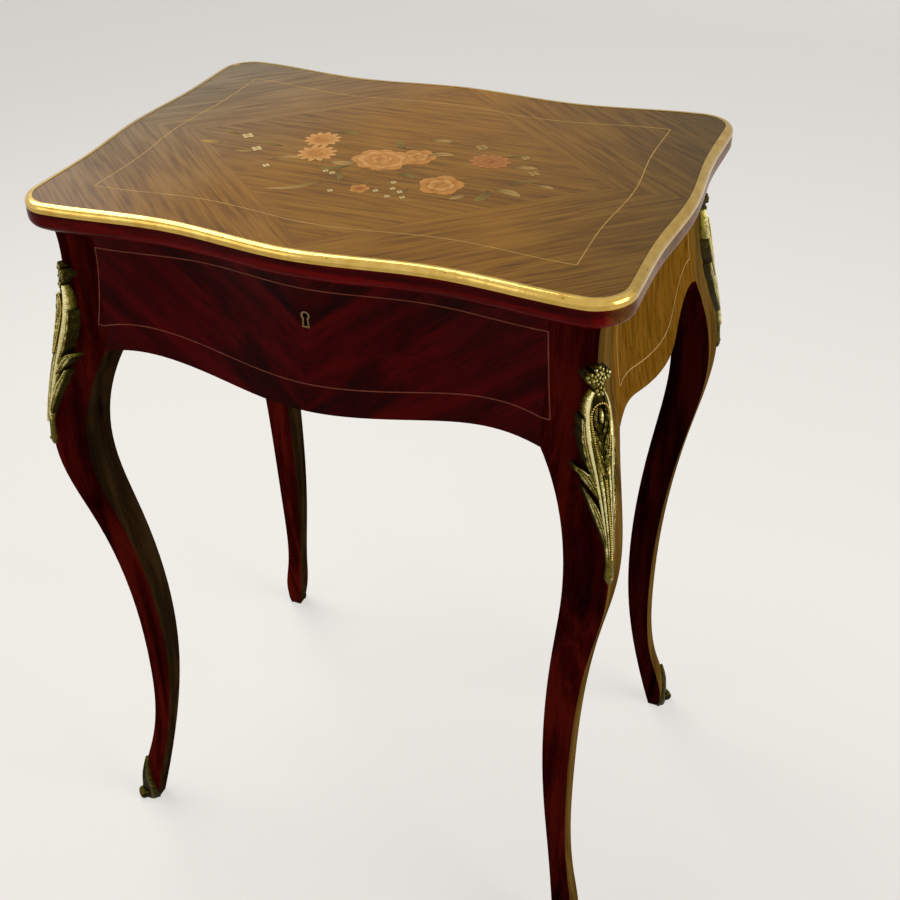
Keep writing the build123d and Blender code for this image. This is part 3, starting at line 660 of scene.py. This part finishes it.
# the panel's front, right, back and left lines
panel_lines = []
for width, dip, bow, corner in (
    (panel_x, 9.0, 3.6, lambda s, w: (s, w - panel_y)),
    (panel_y, 2.7, 4.7, lambda s, w: (panel_x - w, s)),
    (panel_x, 10.0, -3.4, lambda s, w: (-s, panel_y - w)),
    (panel_y, 2.7, 4.7, lambda s, w: (w - panel_x, -s)),
):
    shares = np.linspace(-1, 1, 41)
    panel_lines.append([corner(s * width, wave(abs(s), dip, bow)) for s in shares])

field_tones = ("#5A380C", "#744C10", "#865C1A")
field_veneer = quartered_rosewood(
    "rosewood_quartered_top", field_tones, gloss=0.26, shine=0.08, streak_mm=3.6
)
sheet = ("lid_quartered_veneer", *plate(veneer_edge, sheet_top - sheet_thickness, sheet_top))
add_piece(*sheet, field_veneer, "lid", "marquetry_veneer", stands_for=["top_veneer"])
strings = []
for line in panel_lines:
    spots = [Vector((x, y, sheet_top + string_lift)) for x, y in line]
    strings.append(strip(spots, [Vector((0, 0, 1))] * len(spots), string_width, 0.0, inlay_depth))
add_piece("lid_stringing", *gather(strings), boxwood, "lid", "marquetry_veneer")

# ---------------------------------------------------------------- marquetry
# A traditional spray of flowers sawn from sycamore, pear, padauk and stained holly, let into
# the middle of the lid. The petals are scorched in hot sand at their feet, which shades them.


def blade(spine, widths, top, hollow=0.0):
    """A flat petal or leaf along a spine of (x, y); also says how far along each point is."""
    points, shares = [], []
    count, around = len(spine), 7
    for i, (spot, width) in enumerate(zip(spine, widths)):
        before, after = Vector(spine[max(i - 1, 0)]), Vector(spine[min(i + 1, count - 1)])
        along = (after - before).normalized()
        side = Vector((-along.y, along.x))
        tip = -hollow * (i / (count - 1)) ** 4
        for a in (-1.0, -0.5, 0.0, 0.5, 1.0):
            p = Vector(spot) + side * a * width + along * (tip * (1 - a * a))
            points.append((p.x, p.y, top))
        for a in (1.0, -1.0):
            p = Vector(spot) + side * a * width
            points.append((p.x, p.y, top - inlay_depth))
        shares += [i / (count - 1)] * around
    return points, skin(count, around), shares


def inlay(name, blades, material):
    """Join blades into one inlaid piece, with their shares kept for the sand shading."""
    shape = gather([flat[:2] for flat in blades])
    made = add_piece(name, *shape, material, "lid", "marquetry_veneer")
    shading = made.data.attributes.new("along_petal", "FLOAT", "POINT")
    shading.data.foreach_set("value", [s for _, _, shares in blades for s in shares])


def sand_shaded(name, foot, body, tip):
    """Polished inlay wood, scorched dark at the foot of each piece."""
    material, tree, place = new_finish(name)
    share = put(tree, "ShaderNodeAttribute", attribute_name="along_petal").outputs["Fac"]
    grain = put(tree, "ShaderNodeTexNoise", {"Vector": place, "Scale": 420.0, "Detail": 2.0})
    uneven = put(tree, "ShaderNodeMath", {0: grain, 1: 0.35, 2: share}, operation="MULTIPLY_ADD")
    ramp = tone_ramp(tree, uneven, (foot, body, tip), (0.15, 0.55, 1.0))
    polished = {"Base Color": ramp, "Roughness": 0.3, "Specular IOR Level": 0.07}
    shader = put(tree, "ShaderNodeBsdfPrincipled", polished)
    put(tree, "ShaderNodeOutputMaterial", {"Surface": shader})
    return material


# pieces of each wood: its finish, and its tones at the foot, in the middle and at the tip
inlay_woods = {
    "joints": ("scorched_joint_lines", "#4E2E0C", "#5C3810", "#644014"),
    "pear": ("sand_shaded_pear", "#764210", "#9E6628", "#AE7634"),
    "sycamore": ("sand_shaded_sycamore", "#80501C", "#A67034", "#B88648"),
    "padauk": ("sand_shaded_padauk", "#703C10", "#8E5420", "#9C642E"),
    "leaves": ("green_stained_holly", "#4E3C10", "#6A541C", "#7C662A"),
    "faded_leaves": ("faded_green_holly", "#6E5420", "#90703A", "#A28046"),
    "white_buds": ("white_holly", "#8A7040", "#B49A66", "#C8B282"),
}
sawn = {kind: [] for kind in inlay_woods}
layer_step = 0.036
petal_step = 0.0026  # neighbouring petals overlap a little, each just above the last
inlay_top = sheet_top + 0.02
petal_joint, leaf_joint, half_midrib, half_stem, leaf_bend = 0.26, 0.14, 0.16, 0.45, 0.12


def petal(wood, foot, heading, length, width, layer, order):
    """One petal from its foot, with the dark sawn joint round it."""
    steps = [i / 6 for i in range(7)]
    direction = Vector((cos(heading), sin(heading)))
    fullness = [sin(pi * min(1.0, 0.08 + 0.9 * s**0.75)) ** 0.6 for s in steps]
    for grow, into, raised in ((petal_joint, "joints", 0), (0.0, wood, 1)):
        spine = [tuple(Vector(foot) + direction * (length * s + grow * (2 * s - 1))) for s in steps]
        widths = [(width / 2) * max(0.12, full) + grow for full in fullness]
        top = inlay_top + layer_step * (layer + raised) + petal_step * order
        sawn[into].append(blade(spine, widths, top, hollow=0.06 * length))


def flower(wood, middle, radius, count, width, layer, turn=0.0, inner=0.12, flatten=1.0):
    """A ring of petals round a middle point."""
    for i in range(count):
        heading = turn + 2 * pi * i / count
        stretch = hypot(cos(heading), flatten * sin(heading))
        x, y = middle
        foot = (x + inner * radius * cos(heading), y + inner * radius * sin(heading) * flatten)
        petal(wood, foot, heading, radius * (1 - inner) * stretch, width * stretch, layer, i)


def eye(wood, middle, radius, layer, flatten=1.0):
    """A round button in the middle of a flower."""
    steps = [pi * i / 8 for i in range(9)]
    spine = [(middle[0] - radius * cos(a), middle[1]) for a in steps]
    widths = [max(0.05, sin(a)) * radius * flatten for a in steps]
    sawn[wood].append(blade(spine, widths, inlay_top + layer_step * (layer + 0.5)))


def bent_line(start, end, bend, steps):
    """Places on a line from start to end, bent a little to one side, and their shares."""
    a, b = Vector(start), Vector(end)
    side = Vector((a.y - b.y, b.x - a.x)) * bend
    shares = [i / steps for i in range(steps + 1)]
    return [tuple(a.lerp(b, s) + side * sin(pi * s)) for s in shares], shares


def spray_leaf(start, end, width, wood):
    """A pointed leaf with a dark midrib, on the layer above the stems."""
    spine, shares = bent_line(start, end, leaf_bend, 6)
    leaf = [width / 2 * max(0.05, sin(pi * s) ** 0.8) for s in shares]
    joint, midrib = [half + leaf_joint for half in leaf], [half_midrib] * len(leaf)
    for layer, into, widths in ((1, "joints", joint), (2, wood, leaf), (3, "joints", midrib)):
        sawn[into].append(blade(spine, widths, inlay_top + layer_step * layer))


for start, end, bend in (  # stems
    ((-20, -10), (-66, -4), 0.1),
    ((-26, -16), (-90, -35), 0.12),
    ((-60, -30), (-136, 1), -0.12),
    ((-100, -14), (-160, -17), 0.1),
    ((-8, -26), (-50, -78), 0.1),
    ((0, -24), (3, -60), 0.05),
    ((18, -16), (60, -36), 0.1),
    ((20, 0), (80, 16), -0.1),
    ((70, 20), (65, 42), 0.1),
    ((84, 14), (124, 7), 0.12),
    ((66, -30), (136, -15), 0.15),
    ((70, -34), (104, -36), 0.1),
    ((10, 12), (22, 44), -0.1),
    ((84, 24), (107, 33), 0.1),
    ((-40, 4), (-64, 34), 0.1),
):
    spine, _ = bent_line(start, end, bend, 8)
    sawn["leaves"].append(blade(spine, [half_stem] * len(spine), inlay_top))
for i, (start, end, width) in enumerate((  # leaves
    ((-20, -18), (-42, -26), 9),
    ((-24, -28), (-48, -40), 6),
    ((-30, -62), (-72, -92), 5),
    ((-30, -40), (-20, -58), 5),
    ((-92, -36), (-66, -26), 6),
    ((-96, -8), (-118, -2), 5),
    ((-112, -22), (-132, -30), 4),
    ((-144, 4), (-162, 10), 5),
    ((-150, -16), (-172, -20), 6),
    ((-66, 34), (-44, 36), 6),
    ((18, 42), (38, 46), 6),
    ((6, 20), (-6, 34), 6),
    ((28, 12), (50, 20), 8),
    ((92, 30), (112, 36), 5),
    ((104, 10), (124, 16), 6),
    ((100, -36), (96, -60), 8),
    ((104, -34), (128, -40), 8),
    ((112, -22), (134, -6), 6),
    ((132, -16), (148, -18), 5),
    ((40, -54), (30, -70), 5),
    ((86, -48), (76, -62), 5),
    ((20, -30), (36, -34), 6),
)):
    spray_leaf(start, end, width, "leaves" if i % 2 else "faded_leaves")
bloom = (22, 7)  # the half-hidden rose
flower("pear", bloom, 16, 6, 17, 0, turn=0.3)
flower("sycamore", bloom, 9, 5, 10, 2, turn=0.7)
eye("pear", bloom, 3.0, 3)
bloom = (-4.0, -8.0)  # the full rose in the middle
for wood, radius, count, width, layer, turn in (
    ("pear", 26, 8, 24, 1, 0.2),
    ("sycamore", 21, 7, 21, 3, 0.6),
    ("pear", 15, 6, 17, 5, 0.1),
    ("sycamore", 9.5, 5, 11, 7, 0.5),
):
    flower(wood, bloom, radius, count, width, layer, turn=turn, inner=0.1, flatten=0.84)
    eye(wood, bloom, 0.5 * radius, layer + 1, flatten=0.84)
eye("pear", bloom, 3.4, 8.4, flatten=0.84)
for bloom, radius in (((-70.7, 16.1), 16.5), ((-61.5, -13), 17.5)):  # the two daisies
    flower("sycamore", bloom, radius, 12, 7.8, 1, turn=0.1, inner=0.05)
    eye("sycamore", bloom, 0.4 * radius, 2)
    flower("pear", bloom, 0.3 * radius, 7, 3.6, 3, inner=0.0)
    eye("pear", bloom, 2.2, 4)
bloom = (61.6, -39.5)  # the wild rose
flower("pear", bloom, 19, 5, 22, 1, turn=0.4, inner=0.05)
eye("pear", bloom, 9, 2)
flower("sycamore", bloom, 11.5, 5, 13, 3, turn=0.1, inner=0.0)
eye("pear", bloom, 3.4, 4)
bloom = (81.6, 17.5)  # the red aster
flower("padauk", bloom, 18, 12, 10, 1, turn=0.2, inner=0.05, flatten=0.8)
eye("padauk", bloom, 9, 2, flatten=0.8)
flower("padauk", bloom, 11, 9, 7.6, 3, turn=0.5, inner=0.0, flatten=0.8)
eye("pear", bloom, 3.2, 4, flatten=0.8)
flower("faded_leaves", (64.6, 44.0), 5.5, 4, 5, 1)
flower("pear", (3.2, -66.7), 8.5, 5, 8.5, 1, turn=0.3, inner=0.0)
for wood, bud, radius, width in (
    ("faded_leaves", (107, 33.4), 4, 3.6),
    ("faded_leaves", (123.2, 6.2), 5, 4),
    ("white_buds", (-136.5, 2.2), 5.5, 5),
    ("white_buds", (-114.9, -20.8), 5, 4.5),
    ("white_buds", (-89.8, -50.2), 3.5, 3.4),
):
    flower(wood, bud, radius, 4, width, 3, inner=0.0)
small_buds = ((24, -47), (28, -58), (17, -66), (30, -73), (42, -71), (36, -62))
for bud in (*small_buds, (-38, -44), (-31, -46), (-17, -78)):
    flower("white_buds", bud, 2.6, 4, 2.6, 3)
for kind, wood in inlay_woods.items():
    inlay(f"marquetry_{kind}", sawn[kind], sand_shaded(*wood))

# ---------------------------------------------------------------- chutes
# Cast and chased gilt-brass mounts pinned over the knees: a rosette, a beaded oval shell with
# a bud in it, acanthus leaves that spread on to both faces of the leg, and a beaded tail.
antique_gilt, tree, place = new_finish("antique_gilt_brass")
# the gilding is bright on the ridges and crests and olive brown in the hollows: partly worn gilding
# and patina, and partly painted highlight on the crests and painted shade in the hollows and at the
# feet of the walls
ridge = put(tree, "ShaderNodeAttribute", attribute_name="ridge").outputs["Fac"]
patina = put(tree, "ShaderNodeTexNoise", {"Vector": place, "Scale": 260.0, "Detail": 4.0})
# marks of the chasing punch, 2 mm apart; real ones are finer
punched = {"Vector": place, "Scale": 480.0}
punched = put(tree, "ShaderNodeTexVoronoi", punched, feature="DISTANCE_TO_EDGE").outputs["Distance"]
marks = {"Value": punched, "From Max": 0.16, "To Min": -0.42, "To Max": 0.06}
marks = put(tree, "ShaderNodeMapRange", marks)
tooled = put(tree, "ShaderNodeMath", {0: patina, 1: marks}, operation="ADD")
shown = put(tree, "ShaderNodeMath", {0: tooled, 1: 0.5, 2: ridge}, operation="MULTIPLY_ADD")
ramp = tone_ramp(tree, shown, ("#221C06", "#6E6220", "#DCD094"), (0.3, 0.78, 1.0))
dull = {"Value": shown, "From Min": 0.3, "From Max": 1.1, "To Min": 0.55, "To Max": 0.24}
dull = put(tree, "ShaderNodeMapRange", dull)
bump = put(tree, "ShaderNodeBump", {"Height": tooled, "Strength": 0.4, "Distance": 0.0005})
gilt = {"Base Color": ramp, "Metallic": 1.0, "Roughness": dull, "Normal": bump}
shader = put(tree, "ShaderNodeBsdfPrincipled", gilt)
put(tree, "ShaderNodeOutputMaterial", {"Surface": shader})

# the outer arris of a leg, met by level rays from outside just beside it
leg_points = np.array([v.co for v in nodes["leg_front_right"].data.vertices]) / MM
at_top = leg_points[leg_points[:, 2] > leg_points[:, 2].max() - 0.01]
post_x, post_y = at_top[:, 0].max(), -at_top[:, 1].min()
leg_surface = surface_of("leg_front_right")
arris_heights, arris_outs = [], []
outside, beside = 60.0, 0.3  # where the rays start
for height in np.arange(0.5, leg_points[:, 2].max(), 2.5):
    start = Vector((post_x + outside + beside, -post_y - outside, height)) * MM
    hit, _, _, _ = leg_surface.ray_cast(start, Vector((-1, 1, 0)))
    if hit is not None:
        arris_heights.append(height)
        arris_outs.append(hit.x / MM - post_x)
corner_round = 4.0  # the mounts pass over the arris in a curve


def past_arris(across, proud, height):
    """A place in mm, proud of the outer arris and across it."""
    forward = sqrt(2) * float(np.interp(height, arris_heights, arris_outs)) + proud
    return post_x + (forward + across) / sqrt(2), -post_y + (across - forward) / sqrt(2)


def on_corner(across, height, proud, flat=0.0):
    """A point of a mount in mm: across the arris, up the leg, and proud of the rounded arris.

    flat is 0 where the mount bends round the arris and 1 where it spans it as a flat plate.
    """
    back = (1 - flat) * (hypot(across, corner_round) - corner_round)
    return (*past_arris(across, proud - back, height), height)


def under(across):
    """How deep the foot of a mount's wall stands, just inside the wood."""
    into_wood = 0.5
    return -(corner_round + abs(across) - hypot(across, corner_round)) - into_wood


def relief(rows, flat=0.0):
    """A closed relief from rows of (across, height, proud, shade); shade is 1 on its ridges as worn
    gilding and painted highlight, and its walls' feet get 0 as painted shade.
    """
    points, ridge_shading = [], []
    for row in rows:
        for across, height, proud, shade in row:
            points.append(on_corner(across, height, proud, flat))
            ridge_shading.append(shade)
        for across, height, _, _ in (row[-1], row[0]):
            points.append(on_corner(across, height, under(across)))
            ridge_shading.append(0.0)
    return points, skin(len(rows), len(rows[0]) + 2), ridge_shading


def acanthus(spine, widths, base, crown, lobes=4, curl=0.0, flat=0.0):
    """A leaf in relief along a spine of (across, height): lobed edge, sunk veins, raised midrib."""
    line = [Vector(p) for p in spine]
    lengths = [0.0]
    for a, b in zip(line, line[1:]):
        lengths.append(lengths[-1] + (b - a).length)
    shares = [d / lengths[-1] for d in lengths]
    steps = 6 * lobes

    def spot_at(share):
        """The place at a share of the spine's length."""
        return np.array([np.interp(share, shares, places) for places in zip(*line)])

    rows = []
    for s in (i / steps for i in range(steps + 1)):
        spot = Vector(spot_at(s))
        heading = Vector(spot_at(min(s + 0.04, 1)) - spot_at(max(s - 0.04, 0))).normalized()
        side = Vector((-heading.y, heading.x))
        lobe = abs(sin(pi * lobes * s))
        width = float(np.interp(s, np.linspace(0, 1, len(widths)), widths)) * (0.72 + 0.28 * lobe)
        row = []
        for t in (-1.0, -0.75, -0.5, -0.22, 0.0, 0.22, 0.5, 0.75, 1.0):
            place = spot + side * t * width
            arch = crown * (1 - t * t) ** 0.5
            midrib, hollow, edge = t == 0, abs(t) == 0.22, abs(t) == 0.75
            vein = crown * (0.35 * midrib - 0.25 * hollow)
            groove = -0.3 * crown * (1 - lobe) * min(1.0, 1.6 * abs(t))
            # the midrib and edges are painted lighter and the veins and grooves darker, as painted
            # highlight and painted shade
            shade = 0.55 * (1 - t * t) ** 0.5 + 0.25 * midrib + 0.25 * edge
            shade += 0.2 * s - 0.3 * hollow + groove / crown
            row.append((place.x, place.y, base + arch + vein + groove + curl * s * s, shade))
        rows.append(row)
    return relief(rows, flat)


def dome(across, height, proud, wide, tall, rise, flat=0.0, glow=0.65):
    """A raised round or long bud; glow is how much brighter its crest is painted, as worn gilding
    and painted highlight.
    """
    rows = []
    for i in range(7):
        s = -cos(pi * i / 6)
        ring = sqrt(max(0.0, 1 - s * s))
        half = max(0.08, ring) * wide
        row = []
        for t in (-1.0, -0.6, 0.0, 0.6, 1.0):
            crest = sqrt(max(0.0, ring * ring - (ring * t) ** 2))
            place = (across + t * half, height + s * tall, proud + rise * crest)
            row.append((*place, 0.1 + glow * crest))
        rows.append(row)
    return relief(rows, flat)


plate_flat = 0.75  # the shell and the rosette span the arris as a plate


def shell_body():
    """The oval shell with ribs that run down together into the narrow tail."""
    # height, half width and crown of the body in mm, from the top down
    profile = [
        (640.0, 4.5, 3.0), (634.0, 7.5, 3.0), (626.0, 9.6, 3.4), (614.0, 10.6, 3.8),
        (602.0, 10.2, 4.0), (590.0, 8.8, 4.0), (578.0, 7.4, 3.8), (566.0, 6.2, 3.8),
        (550.0, 4.8, 3.2), (530.0, 3.6, 2.8), (512.0, 2.7, 2.4), (503.0, 2.4, 2.2),
        (497.0, 3.0, 2.4), (491.0, 3.0, 2.4), (487.5, 1.6, 1.4),
    ]
    heights, widths, crowns = zip(*reversed(profile))
    rows = []
    for height in np.linspace(640.0, 487.5, 90):
        half = float(np.interp(height, heights, widths))
        crown = float(np.interp(height, heights, crowns))
        open_part = float(np.clip((height - 508) / 12, 0, 1))
        ribs = open_part * float(np.clip((604 - height) / 10, 0, 1))
        inside = float(np.clip((height - 566) / 26, 0, 1) * np.clip((640 - height) / 6, 0, 1))
        row = []
        for k in range(25):
            t = -1 + k / 12
            arch = crown * (1 - 0.55 * t * t)
            rim, within, bowl = abs(t) > 0.82, abs(t) < 0.82, abs(t) < 0.64
            rib = abs(cos(pi * 2 * t)) if within and t else 0.0
            raised = open_part * rim + 1.1 * ribs * rib - 1.6 * inside * bowl
            # the rim is painted lighter and the sunk bowl darker, as painted highlight and painted
            # shade
            shade = 0.45 + 0.45 * rim * open_part - 0.4 * inside * bowl
            shade += ribs * (0.75 * rib - 0.35) * within
            row.append((t * half, float(height), arch + raised, shade))
        rows.append(row)
    return relief(rows, plate_flat)


chute_parts = [shell_body(), dome(0.0, 647.0, 0.8, 5.8, 8.0, 1.6, plate_flat)]
# a bunch of five florets with five petals each
for x, z in ((0.0, 656.0), (-6.0, 651.0), (6.0, 651.8), (0.2, 648.2), (0.6, 640.4)):
    chute_parts.append(dome(x, z, 1.4, 4.0, 4.0, 1.4, plate_flat))
    for a in (pi / 2 + i * pi * 2 / 5 for i in range(5)):
        foot = (x + 2.7 * cos(a), z + 2.7 * sin(a))
        chute_parts.append(dome(*foot, 2.4, 1.7, 1.9, 1.7, plate_flat, glow=0.58))
    chute_parts.append(dome(x, z, 3.0, 1.2, 1.2, 2.0, plate_flat, glow=0.6))
chute_parts.append(dome(0.0, 622.0, 3.0, 2.2, 6.4, 3.4, plate_flat))
for side in (-1, 1):
    # the husk round the bud and the small leaves stacked under it
    for spine, widths, base, crown in (
        ([(0.6, 608), (3.2, 613), (4.6, 620), (3.4, 630)], [0.9, 1.5, 1.3, 0.5], 3.2, 1.8),
        ([(0.5, 596), (2.8, 600), (4.6, 606), (6.0, 613)], [1.0, 2.0, 1.6, 0.4], 3.2, 1.6),
        ([(0.4, 586), (2.2, 590), (3.8, 596), (5.2, 602)], [0.9, 1.8, 1.4, 0.4], 3.4, 1.5),
        ([(0.4, 577), (1.8, 581), (3.0, 586), (4.2, 592)], [0.8, 1.5, 1.2, 0.4], 3.5, 1.3),
    ):
        leaf = [(side * x, z) for x, z in spine]
        chute_parts.append(acanthus(leaf, widths, base, crown, curl=0.5, flat=plate_flat))
# the leaves that spread on to the face of the leg, wider on the front than on the side
for spine, widths, base, crown, lobes, curl in (
    ([(-6.8, 570), (-9.8, 586), (-11.6, 602), (-11.8, 620)],
     [1.2, 2.4, 2.2, 0.7], 1.8, 1.3, 5, 0.2),
    ([(-6, 560), (-9.4, 570), (-13.4, 578), (-18.2, 581)], [1.2, 3.0, 3.6, 2.2], 1.6, 2.2, 1, 2.2),
    ([(-2.6, 520), (-5.2, 538), (-8.6, 552), (-13.8, 566)], [1.0, 2.3, 2.6, 0.9], 1.2, 1.9, 1, 0.6),
    ([(6.8, 572), (9.6, 586), (11.4, 600), (11.6, 614)], [1.0, 2.1, 1.9, 0.5], 1.8, 1.3, 4, 0.2),
    ([(5.4, 556), (8.8, 568), (11.8, 578), (13.6, 590)], [1.0, 2.4, 2.3, 0.6], 1.4, 1.9, 1, 0.9),
    ([(3.4, 530), (6.2, 544), (9.0, 556), (11.6, 570)], [0.9, 2.0, 2.0, 0.6], 1.2, 1.7, 1, 0.6),
):
    flat = 0.5 if lobes > 1 else 0.15
    chute_parts.append(acanthus(spine, widths, base, crown, lobes, curl, flat))
chute_parts.append(dome(0.0, 494.0, 2.2, 1.5, 1.6, 1.6))

# ---------------------------------------------------------------- sabots
# Cast gilt-brass shoes on the toes: a pointed leaf with a raised edge up the arris of the
# foot and a scroll that rolls out under it.
sabot_heights = (0.2, 6.0, 14.0, 24.0, 34.0, 44.0, 54.0, 60.0)
sabot_halves = (9.5, 11.0, 10.6, 8.8, 6.4, 4.2, 2.2, 0.5)  # half its width at those heights
rows = []
for height in np.linspace(0.2, 60.0, 36):
    half = float(np.interp(height, sabot_heights, sabot_halves))
    flare = 7.0 * max(0.0, 1 - height / 26) ** 2  # the leaf sweeps forward on to the scroll
    row = []
    for k in range(15):
        t = -1 + k / 7
        edge = abs(t) > 0.8
        vein = 0.9 * exp(-((t * half / 1.2) ** 2))
        rib = cos(9 * t)
        # the raised edges and the vein are painted lighter, as worn gilding and painted highlight
        shade = 0.5 * edge + 0.3 * vein + 0.1 * rib - 0.15
        proud = 1.5 - 0.9 * abs(t) + 1.1 * edge + vein + 0.3 * rib + flare * (1 - 0.6 * abs(t))
        row.append((t * half, float(height), proud, shade))
    rows.append(row)


def scroll(height, radius, wide, forward):
    """A volute rolled across the toe."""
    points, ridge_shading = [], []
    turns, stations = 20, 11
    for across in np.linspace(-wide / 2, wide / 2, stations):
        share = abs(2 * across / wide)
        groove = cos(5 * pi * share)
        ring = radius * (1 - 0.22 * share**2) * (0.9 if share > 0.95 else 1.0) + 0.35 * groove
        for a in (2 * pi * k / turns for k in range(turns)):
            x, y = past_arris(across, ring * cos(a) + forward, height)
            points.append((x, y, max(height + ring * sin(a), 0.1)))
            # the grooves of the scroll are painted darker, as painted shade
            ridge_shading.append(0.15 + 0.3 * groove)
    return points, skin(stations, turns), ridge_shading


sabot_parts = [relief(rows), scroll(height=5.6, radius=5.4, wide=13.0, forward=4.6)]


def at_corner(corner, points):
    """Points made for the front right leg, mirrored to another corner."""
    side_x, side_y = corner_signs[corner]
    return [(x * side_x, y * -side_y, z) for x, y, z in points]


def cast_mounts(kind, parts):
    """Set one mount at each corner, with its shading kept for the gilding's wear, painted highlight
    and painted shade.
    """
    points, faces = gather([part[:2] for part in parts])
    ridge_shading = [r for _, _, part_shading in parts for r in part_shading]
    for corner in corner_signs:
        name, placed = f"{kind}_casting_{corner}", at_corner(corner, points)
        stood_for = [f"{kind}_{corner}"]
        cast = (name, placed, faces, antique_gilt, "carcass", "gilt_brass", stood_for)
        made = add_piece(*cast, sharp_from=60)
        chased = made.data.attributes.new("ridge", "FLOAT", "POINT")
        chased.data.foreach_set("value", ridge_shading)


cast_mounts("chute", chute_parts)
cast_mounts("sabot", sabot_parts)

bead_gilt = worn_metal("antique_gilt_beads", "#7A6220", "#D8BE68", 0.3, 1.0)
bead_radius, bead_spacing = 0.85, 1.9
half_wide, half_tall, oval_middle, proud_oval, proud_tail = 7.6, 12.0, 620, 4.2, 3.7
oval = []
for k in range(-30, 31):
    a = pi * 0.86 * k / 30
    drop = max(0.0, abs(k) - 16) * 2.1  # the two ends run down inside the rim
    across = half_wide * sin(a) * (1 - 0.012 * drop)
    oval.append((across, oval_middle + half_tall * cos(a) - drop, proud_oval))
tail = [(0.0, float(z), proud_tail) for z in np.linspace(574, 512, 20)]
threads = [[on_corner(*spot, plate_flat) for spot in line] for line in (oval, tail)]
for corner in corner_signs:
    paths = [at_corner(corner, thread) for thread in threads]
    name = f"chute_beads_{corner}"
    beads_along(name, paths, bead_radius, bead_spacing, bead_gilt, "carcass")
